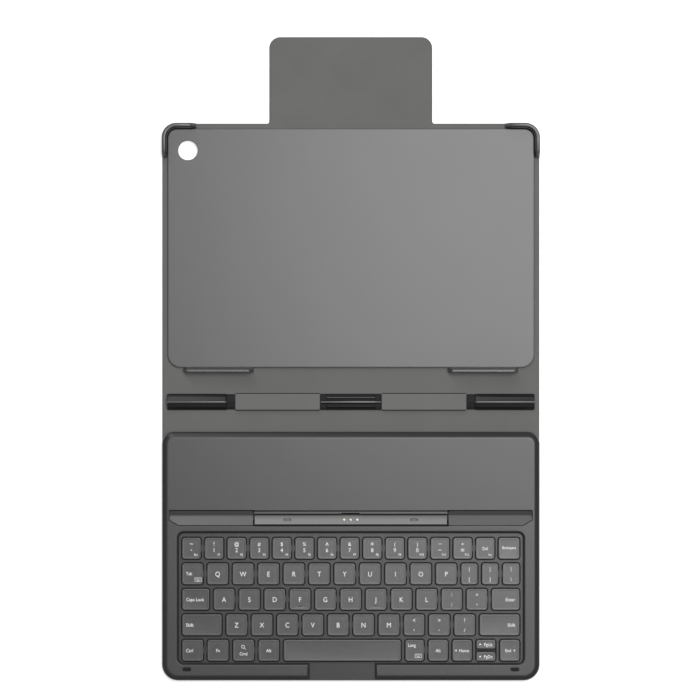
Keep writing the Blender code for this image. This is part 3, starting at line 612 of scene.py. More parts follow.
# Half the bar's section: a steep foot, two sloping flanks and a narrow raised bead along the crest.
reach = np.array((1.0, 0.99, 0.94, 0.62, 0.56, 0.16, 0.12, 0.09, 0.04))
level = np.array((0.0, 0.20, 0.30, 0.66, 0.70, 0.88, 0.92, 0.985, 1.0))
arch = both_sides(reach, level)
for side, word in ((-1, "left"), (1, "right")):
    outer, inner = bar_high[0], bar_high[0] - 0.0402
    neck = bar_low[0]
    stations = (
        (outer, 0.86, 0.80), (outer - 0.0003, 0.95, 0.93), (outer - 0.0010, 1.0, 1.0),
        (inner + 0.0015, 1.0, 1.0), (inner + 0.0006, 0.99, 0.95), (inner, 0.96, 0.84),
        (inner - 0.0004, 0.94, 0.50), (neck, 0.94, 0.42),
    )
    rings = []
    for x, width, rise in stations:
        y = spine_y + half_bar * width * arch[:, 0]
        z = bar_low[2] + (bar_high[2] - bar_low[2]) * rise * arch[:, 1]
        rings.append(np.stack([np.full(len(y), side * x), y, z], 1))
    bar = skin_of(f"round_bar_{word}", rings, [bar_plastic], angle=40)
    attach(bar, "spine")
    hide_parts(f"spine_bar_{word}")

    ends = sorted((side * pad_low[0], side * pad_high[0]))
    outline = rounded(*ends, pad_low[1], pad_high[1], 0.0009, 5)
    pad_levels = (
        (0.0004, pad_low[2]), (0.0, pad_low[2] + 0.0002), (0.0, pad_high[2] - 0.0006),
        (0.00015, pad_high[2] - 0.00018), (0.00045, pad_high[2]), (0.00080, pad_high[2]),
    )
    pad = slab(f"flat_pad_{word}", outline, pad_levels, [pad_lining])
    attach(pad, "spine")
    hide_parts(f"spine_pad_{word}")
    # A thin black strip under each pad shows past its rear and front edges: painted shade for the shadow lines
    # along the pad.
    border = rounded(*ends, pad_low[1] - 0.00045, pad_high[1] + 0.00045, 0.0010, 5)
    gap_shadow_strip = prism(f"pad_glue_{word}", border, pad_low[2], pad_low[2] + 0.00012, [black_liner])
    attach(gap_shadow_strip, "spine")

# The rail's section: two side lands, two deep grooves and a rib between them, which carries a painted
# highlight.
share = np.array((1.0, 0.99, 0.95, 0.62, 0.59, 0.50, 0.46, 0.22, 0.15, 0.11, 0.05))
level = np.array((0.0, 0.0006, 0.0008, 0.0021, 0.0022, 0.0022, 0.0005, 0.0005, 0.0020, 0.00235, 0.0024))
section = both_sides(share, level)
end_section = both_sides(share, np.minimum(level, 0.0015))
flat_level = np.array((0.0, 0.0006, 0.0008, 0.0009, 0.0009, 0.0009, 0.0009, 0.0009, 0.0018, 0.00225, 0.0023))
flat_section = both_sides(share, flat_level)
rail_half = rail_high[0]
rings = []
for x, shape in (
    (-rail_half, end_section), (-rail_half + 0.0004, flat_section), (-rail_half + 0.0039, flat_section),
    (-rail_half + 0.0042, section), (rail_half - 0.0042, section), (rail_half - 0.0039, flat_section),
    (rail_half - 0.0004, flat_section), (rail_half, end_section),
):
    y = spine_y + half_bar * shape[:, 0]
    rings.append(np.stack([np.full(len(y), x), y, rail_low[2] + shape[:, 1]], 1))
rail = skin_of("ribbed_rail", rings, [rail_plastic], angle=40)
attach(rail, "spine")
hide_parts("spine_centre_rail")


# ------------------------------------------------------------------------------------------ keyboard deck
# A moulded top case with soft rounded edges, a sunk key plate with one opening a key, a finger notch
# and a stand groove across it. It is glued by its bottom case to the cover.
def gap_shade_finish():
    """Near-black painted shade for the faces inside slits, gaps, pockets and holes: a faint dusty mottle, with
    no polish.
    """
    finish = Finish("parting_line", specular_ior_level=0.1)
    dust = finish.noise(0.0008, 3.0)
    finish.give(base_color=finish.mix(dust, grey(0.002), grey(0.006)))
    finish.give(roughness=0.85 + 0.1 * dust)
    return finish.material


def deck_finish():
    """Fine matte moulded plastic: spark texture and slow blotches, with painted shade on the outer bevel, the
    well and notch walls and the key plate, and painted light on the stand groove, brightest on its front ramp.
    """
    finish = Finish("deck_plastic", specular_ior_level=0.37)
    spark = finish.noise(0.00020, 2.0)
    slow = finish.noise(0.05, 1.5)
    # Painted shade on the faces between about 6.4 and 7.9 mm high: the outer bevel and the walls of the well
    # and the notch.
    sides = finish.z.between(0.00795, 0.0074) * finish.z.between(0.00636, 0.00645)
    # Painted shade on the key plate between the caps.
    plate = finish.z.between(0.0066, 0.0064)
    inner = finish.x.distance(0.0).between(0.1228, 0.1224)
    groove = finish.y.between(-0.11245, -0.1121) * finish.y.between(-0.1020, -0.1023) * inner
    # Painted light on the stand groove's faces below the deck top, brightest on its front ramp.
    ramp_light = groove * finish.y.between(-0.1058, -0.1061) * finish.z.between(0.00799, 0.00796)
    tone = finish.mix(spark * 0.5 + slow * 0.5, grey(0.048), grey(0.057))
    tone = finish.mix(sides * (1.0 - groove) * 0.60, tone, grey(0.012))
    tone = finish.mix(plate * (1.0 - groove) * 0.6, tone, grey(0.020))
    tone = finish.mix(groove * finish.z.between(0.00799, 0.00796), tone, grey(0.085))
    finish.give(base_color=finish.mix(ramp_light, tone, grey(0.120)))
    finish.give(roughness=0.25 + 0.06 * spark + 0.03 * slow)
    finish.give(normal=finish.relief(spark, 0.000016))
    return finish.material


deck_low, deck_high = node_box("deck_top_case")
deck_base, deck_top = deck_low[2], deck_high[2]
deck_plastic = deck_finish()
recess = gap_shade_finish()
deck_bevel = 0.0040
skirt = deck_base + 0.0012
# The edge has a rounded lower corner, a broad chamfer that steepens outwards, and a soft crease on top.
turn = np.radians(np.linspace(0, 60, 7))
chamfer = np.linspace(0, 1, 6)[1:]
edge_in = 0.0009 * (1 - np.cos(turn)) / (1 - math.cos(turn[-1]))
edge_up = 0.0020 * np.sin(turn) / math.sin(turn[-1])
deck_levels = np.concatenate([
    ((0.0008, deck_base), (0.0001, deck_base), (0.0, deck_base + 0.0001)),
    np.stack([edge_in, skirt + edge_up], 1),
    np.stack([
        0.0009 + 0.0027 * chamfer,
        skirt + 0.0020 + (deck_top - 0.00008 - skirt - 0.0020) * (1 - (1 - chamfer) ** 1.06),
    ], 1),
    ((deck_bevel - 0.0001, deck_top), (deck_bevel + 0.0006, deck_top)),
])
deck_outline = rounded(deck_low[0], deck_high[0], deck_low[1], deck_high[1], (0.011, 0.008), 16)
deck = slab("deck_top", deck_outline, deck_levels, [deck_plastic])

key_plate, plate_under = 0.00635, 0.00555
key_rows = (
    ("grave_1", "2_3", "4_5", "6_7", "8_9", "0_minus", "equals_delete", "backspace"),
    ("tab_q", "w_e", "r_t", "y_u", "i_o", "p_bracket_open", "bracket_close_backslash"),
    ("caps_lock", "a_s", "d_f", "g_h", "j_k", "l_semicolon", "quote_enter"),
    ("shift_left", "z_x", "c_v", "b_n", "m_comma", "stop_slash", "shift_right"),
    ("ctrl_fn", "command_alt_left", "space", "language_alt_right", "home", "page_up", "page_down", "end"),
)
key_shares = {
    "tab_q": (0.985, 1), "p_bracket_open": (1, 0.785), "bracket_close_backslash": (0.78, 0.805),
    "l_semicolon": (1, 0.985), "quote_enter": (0.995, 1.325), "m_comma": (1, 0.98),
    "ctrl_fn": (0.99, 1), "command_alt_left": (1, 0.98), "language_alt_right": (0.885, 0.93),
}
single_keys = (
    "backspace", "caps_lock", "shift_left", "shift_right", "space", "home", "page_up", "page_down", "end",
)


def key_boxes(key, row):
    """(x0, x1, y0, y1) of each cap of a key node: its box, shared out by the caps' widths."""
    low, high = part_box(f"key_{key}")
    if key in single_keys:
        return [(low[0], high[0], low[1], high[1])]
    gap = 0.0025 if row == 0 else 0.0028
    first, second = key_shares.get(key, (1, 1))
    middle = low[0] + (high[0] - low[0] - gap) * first / (first + second)
    return [(low[0], middle, low[1], high[1]), (middle + gap, high[0], low[1], high[1])]


key_places = [(key, key_boxes(key, row)) for row, keys in enumerate(key_rows) for key in keys]
field_low, field_high = node_box("switch_membrane")
space_low, space_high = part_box("key_space")
notch_x = (space_low[0] + space_high[0]) / 2

cutters = []
well_x = (field_low[0] - 0.0038, field_high[0] + 0.0038)
well_y = (field_low[1] - 0.0029, field_high[1] + 0.0046)
well = rounded(*well_x, *well_y, 0.0050, 10)
wall = np.array((
    (0.00175, key_plate), (0.00168, key_plate + 0.00010), (0.00150, key_plate + 0.00035),
    (0.00030, deck_top - 0.00030), (0.00012, deck_top - 0.00008), (-0.00020, deck_top),
    (-0.00030, deck_top + 0.0004),
))
cutters.append(slab("well_cutter", well, wall, []))
front = np.array((well_y[0] + 0.0016, deck_low[1] - 0.001))
half_notch = 0.02225
rings = []
for inset, z in wall:
    half = half_notch + 0.0014 - inset
    rings.append([(notch_x - half, front[1], z), (notch_x + half, front[1], z), (notch_x + half, front[0], z),
                  (notch_x - half, front[0], z)])
cutters.append(skin_of("notch_cutter", rings, []))

groove_front, groove_rear, groove_line = -0.11239, -0.10234, -0.10600
slope = 0.54
pocket_half = 0.0658
groove_end = half_width - 0.0050
wing_corner = groove_end - 0.0061
above = deck_top + 0.0004


def groove_height(y):
    """The groove's floor falls rearwards by the slope."""
    return deck_top - slope * (y - groove_front)


for side, word in ((-1, "left"), (1, "right")):
    rings = []
    for x, start in ((pocket_half - 0.0006, 0.0), (wing_corner, 0.0), (groove_end, 0.0037)):
        y = np.array((
            groove_front - 0.00025 + start, groove_front + 0.0003 + start, groove_line - 0.0003,
            groove_line + 0.0003, groove_rear - 0.0003, groove_rear + 0.0003, groove_rear + 0.0003,
            groove_front - 0.00025 + start,
        ))
        floor = groove_height(y[1:3])
        z = np.array((
            deck_top + 0.00001, floor[0], floor[1], floor[1] + 0.0001, deck_top - 0.0004,
            deck_top + 0.00001, above, above,
        ))
        rings.append(np.stack([np.full(8, side * x), y, z], 1))
    cutters.append(skin_of(f"groove_cutter_{word}", rings, []))
# The cradle's pocket: its cut walls take the near-black painted shade.
pocket_levels = (
    (0.0, deck_base - 0.001), (0.0, deck_top - 0.00015), (-0.00015, deck_top), (-0.00015, above),
)
pocket = rounded(-pocket_half - 0.0002, pocket_half + 0.0002, groove_front - 0.0006, -0.10469, 0.0004, 3)
cutters.append(slab("cradle_pocket", pocket, pocket_levels, [recess]))


def slit(name, points, width, depth):
    """A narrow cutter for a parting line: the line's points moved half the width to each side. The faces it
    cuts take the near-black painted shade.
    """
    points = np.asarray(points, float)
    side = np.diff(points, axis=0)
    side /= np.linalg.norm(side, axis=1)[:, None]
    normal = np.stack([-side[:, 1], side[:, 0]], 1)
    before, after = np.concatenate([normal[:1], normal]), np.concatenate([normal, normal[-1:]])
    mitre = (before + after) / (1.0 + (before * after).sum(1))[:, None] * width / 2
    outline = np.concatenate([points - mitre, (points + mitre)[::-1]])
    return prism(name, outline, deck_top - depth, above, [recess])


for side, word in ((-1, "left"), (1, "right")):
    front_line = np.array((
        (pocket_half - 0.0004, groove_front - 0.0001), (wing_corner, groove_front - 0.0001),
        (groove_end, groove_front + 0.0036), (groove_end, groove_rear - 0.0004),
        (groove_end - 0.0005, groove_rear), (pocket_half - 0.0004, groove_rear),
    ))
    cutters.append(slit(f"wing_line_{word}", front_line * (side, 1), 0.00042, 0.0010))
    rear_edge = front_line[[4, 5]] - (0.0, 0.00015)
    cutters.append(slit(f"rear_shadow_{word}", rear_edge * (side, 1), 0.00045, 0.0014))
strip_line = ((-pocket_half, groove_rear - 0.0004), (pocket_half, groove_rear - 0.0004))
cutters.append(slit("strip_line", strip_line, 0.00080, 0.0014))
for side, word in ((-1, "left"), (1, "right")):
    end_x = side * (pocket_half - 0.0002)
    end_line = ((end_x, -0.10475), (end_x, groove_rear - 0.0004))
    cutters.append(slit(f"end_gap_{word}", end_line, 0.0010, 0.0014))
# A short slot by the pins; its cut faces take the near-black painted shade.
pin_slot = rounded(-0.0064, 0.0060, -0.10520, -0.10395, 0.00040, 4)
cutters.append(prism("pin_slot", pin_slot, deck_top - 0.0020, above, [recess]))

opening_levels = (
    (-0.0006, plate_under - 0.0004), (-0.0006, key_plate - 0.00010), (-0.0007, key_plate),
    (-0.0007, key_plate + 0.0003),
)
for key, boxes in key_places:
    if key == "page_down":
        continue
    for number, (x0, x1, y0, y1) in enumerate(boxes):
        if key == "page_up":
            y0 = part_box("key_page_down")[0][1]
        hole = rounded(x0, x1, y0, y1, 0.0018, 4)
        cutters.append(slab(f"opening_{key}_{number}", hole, opening_levels, []))
half_field = field_high[0] + 0.0006
under = rounded(-half_field, half_field, field_low[1] - 0.0006, field_high[1] + 0.0006, 0.0010, 3)
cutters.append(prism("membrane_room", under, deck_base - 0.001, plate_under, []))
rear_room = rounded(-0.1175, 0.1175, groove_rear + 0.0050, deck_high[1] - 0.0100, 0.0015, 3)
cutters.append(prism("board_room", rear_room, deck_base - 0.001, deck_top - 0.0010, []))
bumper_boxes = {word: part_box(f"bumper_{word}") for word in ("left", "right")}
for word, (low, high) in bumper_boxes.items():
    seat = rounded(low[0] - 0.0003, high[0] + 0.0003, low[1] - 0.0003, high[1] + 0.0003, 0.00130, 8)
    seat_levels = ((0.0, deck_top - 0.0008), (0.0, deck_top - 0.0001), (-0.0001, deck_top), (-0.0001, above))
    cutters.append(slab(f"bumper_seat_{word}", seat, seat_levels, []))
carve(deck, "DIFFERENCE", cutters, 30)
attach(deck, "deck")
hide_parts("deck_top_case")


# ------------------------------------------------------------------------------------------ bumpers
# Two small ovals of soft rubber, pressed into seats on the deck's front ledge.
for word, (low, high) in bumper_boxes.items():
    oval = rounded(low[0], high[0], low[1], high[1], (high[1] - low[1]) / 2 - 0.00003, 10)
    dome = np.radians(np.linspace(0, 82, 8))
    rise = high[2] - deck_top
    half = (high[1] - low[1]) / 2
    top_levels = np.stack([half * (1 - np.cos(dome)) * 0.9, deck_top + rise * np.sin(dome)], 1)
    bumper_levels = np.concatenate([((0.0, low[2]),), top_levels])
    bumper = slab(f"rubber_bumper_{word}", oval, bumper_levels, [black_liner])
    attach(bumper, "deck")
    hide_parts(f"bumper_{word}")


# ------------------------------------------------------------------------------------------ inner pieces
# The bottom case, the printed switch film and the two circuit boards lie inside and keep their shapes.
def case_finish():
    """Black moulded plastic with a fine rough texture."""
    finish = Finish("bottom_case_plastic", specular_ior_level=0.4)
    spark = finish.noise(0.0003, 3.0)
    finish.give(base_color=finish.mix(spark, grey(0.022), grey(0.038)))
    finish.give(roughness=0.55 + 0.2 * spark)
    finish.give(normal=finish.relief(spark, 0.00003))
    return finish.material


def film_finish():
    """Grey polyester film with silver tracks along its length and a pad every key."""
    finish = Finish("switch_film", specular_ior_level=0.5)
    tracks = (finish.y / 0.0017).math("FRACT").distance(0.5).between(0.16, 0.10)
    pads = (finish.x / 0.0170).math("FRACT").distance(0.5).between(0.20, 0.16)
    silver = tracks * (0.35 + 0.65 * pads)
    finish.give(base_color=finish.mix(silver, grey(0.006), (0.020, 0.020, 0.019)))
    finish.give(roughness=0.62 - 0.12 * silver)
    return finish.material


def board_finish():
    """Green solder mask over copper tracks, with tinned pads."""
    finish = Finish("circuit_board", specular_ior_level=0.55)
    across = (finish.x / 0.0024).math("FRACT").distance(0.5).between(0.22, 0.18)
    along = (finish.y / 0.0031).math("FRACT").distance(0.5).between(0.30, 0.26)
    copper = across.math("MAXIMUM", along)
    pads = across * along * finish.noise(0.004).between(0.50, 0.54)
    mask = finish.mix(copper, (0.010, 0.070, 0.025), (0.020, 0.125, 0.045))
    finish.give(base_color=finish.mix(pads, mask, (0.72, 0.70, 0.62)))
    finish.give(roughness=0.35, metallic=pads * 0.9)
    finish.give(normal=finish.relief(copper, 0.00003))
    return finish.material


board_green = board_finish()
inner_finishes = (
    ("deck_bottom_case", case_finish(), "base_case"), ("switch_membrane", film_finish(), "film"),
    ("controller_board", board_green, "board"), ("contact_board", board_green, "board"),
)
for name, finish, slot in inner_finishes:
    node = nodes[name]
    node.data.materials.clear()
    node.data.materials.append(finish)


# ------------------------------------------------------------------------------------------ keys
# Satin caps with rounded edges and a faint dish, printed with pale legends. Neighbours share one
# moving node in pairs, tied by a thin web under the plate.
def key_finish():
    """Satin cap plastic: fine texture, and a finger-polished patch in the middle of each cap."""
    finish = Finish("key_plastic", specular_ior_level=0.55)
    spark = finish.noise(0.00020, 2.0)
    spot = finish.node("ShaderNodeUVMap").outputs["UV"]
    split = finish.node("ShaderNodeSeparateXYZ", {}, {"Vector": spot})
    u, v = (Value(finish.tree, socket) for socket in tuple(split.outputs)[:2])
    sheen_mask = (u * u + v * v).between(0.9, 0.05) * (0.6 + 0.4 * finish.noise(0.004))
    finish.give(base_color=finish.mix(spark, grey(0.052), grey(0.062)))
    finish.give(roughness=0.27 + 0.06 * spark - 0.04 * sheen_mask)
    finish.give(normal=finish.relief(spark, 0.000012))
    return finish.material


def ink_finish():
    """White pad-printed ink, thin enough that it is a little uneven."""
    finish = Finish("legend_ink", specular_ior_level=0.4)
    patch = finish.noise(0.0006, 2.0)
    finish.give(base_color=finish.mix(patch, (0.84, 0.84, 0.83), (0.95, 0.95, 0.94)))
    finish.give(roughness=0.5 + 0.1 * patch)
    return finish.material


cap_under, cap_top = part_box("key_a_s")[0][2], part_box("key_a_s")[1][2]
key_plastic = key_finish()
ink = ink_finish()
edge_angle = np.radians(np.linspace(0, 90, 6))
cap_round = 0.00040
cap_levels = np.concatenate([
    ((0.0, cap_under),),
    np.stack([cap_round * (1 - np.cos(edge_angle)), cap_top - cap_round * (1 - np.sin(edge_angle))], 1),
    ((0.00075, cap_top), (0.00115, cap_top - 0.00002), (0.00155, cap_top - 0.00004)),
])


def cap(name, x0, x1, y0, y1):
    """One key cap; the two half-height ones have tighter corners and a flatter face."""
    full = y1 - y0 > 0.01
    outline = rounded(x0, x1, y0, y1, 0.0018 if full else 0.0014, 6)
    return slab(name, outline, cap_levels if full else cap_levels[:-1], [key_plastic])


def with_spot(obj, boxes):
    """Gives each point of the caps its place on its own cap, from -1 to 1, as the UV."""
    mesh = obj.data
    corner = np.empty(len(mesh.loops), np.int32)
    mesh.loops.foreach_get("vertex_index", corner)
    place = np.empty(len(mesh.vertices) * 3)
    mesh.vertices.foreach_get("co", place)
    place = place.reshape(-1, 3)[corner]
    spot = np.zeros((len(corner), 2))
    for x0, x1, y0, y1 in boxes:
        inside = (place[:, 0] > x0 - 1e-5) & (place[:, 0] < x1 + 1e-5)
        spot[inside, 0] = (2 * place[inside, 0] - x0 - x1) / (x1 - x0)
        spot[inside, 1] = (2 * place[inside, 1] - y0 - y1) / (y1 - y0)
    layer = mesh.uv_layers.new(name="spot")
    layer.data.foreach_set("uv", spot.astype(np.float32).ravel())


# Each cap's legends are (text, height of a capital in mm, alignment, x in mm from the left or, for
# right alignment, from the right, or a share for centred text, y as a share down from the rear edge).
def pair(upper, lower, corner):
    """Number-row legends: shifted symbol, digit, and a small function name at the lower right."""
    words = [(upper, 2.6, "CENTER", 0.5, 0.29), (lower, 2.8, "CENTER", 0.5, 0.575)]
    return words + ([(corner, 1.6, "RIGHT", 2.0, 0.785)] if corner else [])


def stacked(upper, lower):
    """Two symbols of one size, one over the other."""
    return [(upper, 2.3, "CENTER", 0.5, 0.28), (lower, 2.3, "CENTER", 0.5, 0.74)]


def one(text, height, align="CENTER", x=0.5, down=0.5):
    """A single word, in the middle of the cap unless told otherwise."""
    return [(text, height, align, x, down)]


legends = {
    "grave_1": (pair("~", "`", "Esc"), pair("!", "1", "F1")),
    "2_3": (pair("@", "2", "F2"), pair("#", "3", "F3")), "4_5": (pair("$", "4", "F4"), pair("%", "5", "F5")),
    "6_7": (pair("^", "6", "F6"), pair("&", "7", "F7")), "8_9": (pair("*", "8", "F8"), pair("(", "9", "F9")),
    "0_minus": (pair(")", "0", "F10"), pair("_", "\u2013", "F11")),
    "equals_delete": (pair("+", "=", "F12"), one("Del", 2.2) + one("Ins", 1.55, "RIGHT", 2.0, 0.785)),
    "backspace": (one("Backspace", 1.85, "RIGHT", 2.4, 0.46),),
    "tab_q": (one("Tab", 2.2, "LEFT", 2.7, 0.48), one("Q", 3.4)),
    "p_bracket_open": (one("P", 3.4), stacked("{", "[")),
    "bracket_close_backslash": (stacked("}", "]"), stacked("|", "\\")),
    "caps_lock": (one("Caps Lock", 2.3, "LEFT", 2.8),), "l_semicolon": (one("L", 3.4), stacked(":", ";")),
    "quote_enter": (stacked('"', "'"), one("Enter", 2.4, "RIGHT", 3.0)),
    "shift_left": (one("Shift", 2.4, "LEFT", 2.6),), "shift_right": (one("Shift", 2.4, "RIGHT", 3.0),),
    "m_comma": (one("M", 3.4), stacked("<", ",")), "stop_slash": (stacked(">", "."), stacked("?", "/")),
    "ctrl_fn": (one("Ctrl", 2.4, "LEFT", 2.7), one("Fn", 2.3)), "space": ([],),
    "command_alt_left": (one("Cmd", 2.2, down=0.65), one("Alt", 2.3)),
    "language_alt_right": (one("Lang", 2.3, "LEFT", 1.9, 0.25), one("Alt", 2.3)),
    "home": (one("Home", 2.2, x=0.60),), "page_up": (one("PgUp", 2.2, x=0.62),),
    "page_down": (one("PgDn", 2.2, x=0.62),), "end": (one("End", 2.2, x=0.42),),
}
# Share of the type size that a capital stands high; glyphs are narrowed, and small ones fattened.
CAPITAL, NARROW, FATTER = 0.729, 0.90, 0.012
# Marks that the eye would lose at this size are printed larger, each centred on its place.
marks = {
    "^": 1.5, "*": 1.45, "\u2013": 1.3, "_": 1.3, "=": 1.35, "~": 1.2, "`": 1.6, ".": 1.6, ",": 1.5, ";": 1.25,
    ":": 1.25, "'": 1.5, '"': 1.5, "<": 1.25, ">": 1.25, "?": 1.2, "/": 1.15, "|": 1.1, "\\": 1.1, "!": 1.15,
}
for key, boxes in key_places:
    if key not in legends:
        legends[key] = tuple(one(letter, 3.4) for letter in key.upper().split("_"))

written = []
for key, boxes in key_places:
    for words, (x0, x1, y0, y1) in zip(legends[key], boxes):
        for text, height, align, x, down in words:
            curve = bpy.data.curves.new("legend", "FONT")
            curve.body = text
            curve.size = height * marks.get(text, 1.0) * 0.001 / CAPITAL
            curve.align_x = align
            curve.resolution_u = 3
            bold = 0.3 if text in marks else 0.6 if height < 2.0 else 0.35 if height < 3.0 else 0.0
            curve.offset = FATTER * curve.size * bold
            obj = bpy.data.objects.new("legend", curve)
            left = {"LEFT": x0 + x * 0.001, "RIGHT": x1 - x * 0.001, "CENTER": x0 + x * (x1 - x0)}[align]
            bpy.context.scene.collection.objects.link(obj)
            written.append((key, obj, left, y1 - down * (y1 - y0), 0.0 if text in marks else height * 0.0005))
bpy.context.view_layer.update()
graph = bpy.context.evaluated_depsgraph_get()
ink_of = {}
for key, obj, x, y, drop in written:
    mesh = bpy.data.meshes.new_from_object(obj.evaluated_get(graph))
    place = np.empty(len(mesh.vertices) * 3)
    mesh.vertices.foreach_get("co", place)
    place = place.reshape(-1, 3) * (NARROW, 1.0, 1.0)
    middle = 0.0 if drop else (place[:, 1].min() + place[:, 1].max()) / 2
    place += (x, y - drop - middle, 0.0)
    ink_of.setdefault(key, []).append((place[:, :2], [tuple(face.vertices) for face in mesh.polygons]))
    bpy.data.objects.remove(obj)
    bpy.data.meshes.remove(mesh)


def shape(key, *outline):
    """Adds one flat inked shape to a key, from (x, y) points in metres."""
    ink_of.setdefault(key, []).append((np.array(outline), [tuple(range(len(outline)))]))


def keyboard_icon(key, x, y):
    """A small keyboard: a frame, two rows of dots and a bar; x, y is its lower left corner."""
    line, width, height = 0.00022, 0.0046, 0.0026
    for x0, x1, y0, y1 in (
        (0, width, 0, line), (0, width, height - line, height), (0, line, line, height - line),
        (width - line, width, line, height - line), (0.0013, 0.0033, 0.00055, 0.00085),
        *[(0.0007 + 0.0009 * i, 0.0007 + 0.0009 * i + 0.0003, 0.0012, 0.0015) for i in range(4)],
        *[(0.0007 + 0.0009 * i, 0.0007 + 0.0009 * i + 0.0003, 0.0018, 0.0021) for i in range(4)],
    ):
        shape(key, (x + x0, y + y0), (x + x1, y + y0), (x + x1, y + y1), (x + x0, y + y1))


box_of = dict(key_places)
for key, x, y in (("tab_q", -0.0055, 0.0021), ("language_alt_right", -0.0062, 0.0023)):
    x0, x1, y0, y1 = box_of[key][0]
    keyboard_icon(key, x1 + x, y0 + y)
# Small arrowheads on the four cursor keys, each placed from the left (0) or right (1) end of its cap.
arrow_size = 0.0008
sideways = np.array(((-1.0, 0.0), (0.4, -1.0), (0.4, 1.0))) * arrow_size
upright = np.array(((-1.0, -0.5), (1.0, -0.5), (0.0, 0.9))) * arrow_size
for key, end, x, head in (
    ("home", 0, 0.0026, sideways), ("end", 1, -0.0036, -sideways), ("page_up", 0, 0.0027, upright),
    ("page_down", 0, 0.0027, -upright),
):
    box = box_of[key][0]
    shape(key, *(head + (box[end] + x, (box[2] + box[3]) / 2)))
# A ring with a handle on the command key stands for search.
x0, x1, y0, y1 = box_of["command_alt_left"][0]
ring = arc(0, 0, 1.0, 0, 360, 20)
centre = np.array(((x0 + x1) / 2 - 0.0003, y1 - 0.0047))
for start in range(20):
    a, b = ring[start], ring[start + 1]
    shape("command_alt_left", *(centre + radius * point for radius, point in
                                ((0.00085, a), (0.00115, a), (0.00115, b), (0.00085, b))))
shape("command_alt_left", *(centre + np.array(p) for p in
                            ((0.0007, -0.0009), (0.0016, -0.0018), (0.0018, -0.0016), (0.0009, -0.0007))))

# F and J carry a short sunk line for the fingertips; its cut faces take the near-black painted shade.
sunk_keys = {"d_f": 1, "j_k": 0}
INK_RISE, INK_DEPTH = 0.00003, 0.00015
for key, boxes in key_places:
    caps = [cap(f"caps_{key}_{number}", *box) for number, box in enumerate(boxes)]
    if key in sunk_keys:
        x0, x1, y0, y1 = boxes[sunk_keys[key]]
        middle, height = (x0 + x1) / 2, y0 + 0.18 * (y1 - y0)
        line = rounded(middle - 0.0017, middle + 0.0017, height - 0.00022, height + 0.00022, 0.00020, 3)
        cutter = prism("sunk_line", line, cap_top - 0.0003, cap_top + 0.0003, [recess])
        carve(caps[sunk_keys[key]], "DIFFERENCE", [cutter])
    if len(boxes) == 2:
        y = (boxes[0][2] + boxes[0][3]) / 2
        web = rounded(boxes[0][1] - 0.0020, boxes[1][0] + 0.0020, y - 0.0020, y + 0.0020, 0.0003, 2)
        caps.append(prism("web", web, cap_under, cap_under + 0.00035, [key_plastic]))
    piece = carve(caps[0], "UNION", caps[1:]) if len(caps) > 1 else caps[0]
    piece.name = f"caps_{key}"
    with_spot(piece, boxes)
    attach(piece, f"key_{key}")
    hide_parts(f"key_{key}")
    if key not in ink_of:
        continue
    # The ink is a closed film: each flat glyph stands just over the cap's face on a foot just under it.
    points, faces = np.empty((0, 2)), []
    for flat, glyph in ink_of[key]:
        faces += [tuple(int(i) + len(points) for i in face) for face in glyph]
        points = np.concatenate([points, flat])
    mesh = bpy.data.meshes.new(f"legend_{key}")
    mesh.from_pydata(np.column_stack([points, np.full(len(points), cap_top + INK_RISE)]).tolist(), [], faces)
    work = bmesh.new()
    work.from_mesh(mesh)
    for face in work.faces:
        face.normal_update()
        if face.normal.z < 0:
            face.normal_flip()
    raised = bmesh.ops.extrude_face_region(work, geom=work.faces[:])
    lowered = {item for item in raised["geom"] if isinstance(item, bmesh.types.BMVert)}
    for vert in work.verts:
        if vert not in lowered:
            vert.co.z -= INK_DEPTH
    bmesh.ops.recalc_face_normals(work, faces=work.faces[:])
    work.to_mesh(mesh)
    work.free()
    legend = bpy.data.objects.new(f"legend_{key}", mesh)
    mesh.materials.append(ink)
    bpy.context.scene.collection.objects.link(legend)
    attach(legend, f"key_{key}")


# ------------------------------------------------------------------------------------------ cradle
# A moulded bar floats on two pivots in the groove and carries three sprung contact pins. Two
# moulded ovals guide the tablet's edge.
def cradle_finish():
    """Satin plastic, a little lighter and smoother than the deck."""
    finish = Finish("cradle_plastic", specular_ior_level=0.5)
    spark = finish.noise(0.00025, 2.0)
    finish.give(base_color=finish.mix(spark, grey(0.205), grey(0.225)))
    finish.give(roughness=0.40 + 0.10 * spark)
    finish.give(normal=finish.relief(spark, 0.000014))
    return finish.material


def pin_finish():
    """Gold-plated brass, turned, with fine rings."""
    finish = Finish("pin_brass", metallic=0.35)
    turning = finish.noise(0.0001, 2.0)
    finish.give(base_color=finish.mix(turning, (0.84, 0.80, 0.64), (0.95, 0.93, 0.82)))
    finish.give(roughness=0.22 + 0.14 * turning)
    finish.give(normal=finish.relief(turning, 0.000004))
    return finish.material


cradle_low, cradle_high = node_box("cradle_bar")
cradle_half, cradle_front, cradle_rear = 0.0648, cradle_low[1], cradle_high[1]
cradle_plastic = cradle_finish()
pin_brass = pin_finish()
normal_y, normal_z = slope / math.hypot(slope, 1.0), 1.0 / math.hypot(slope, 1.0)


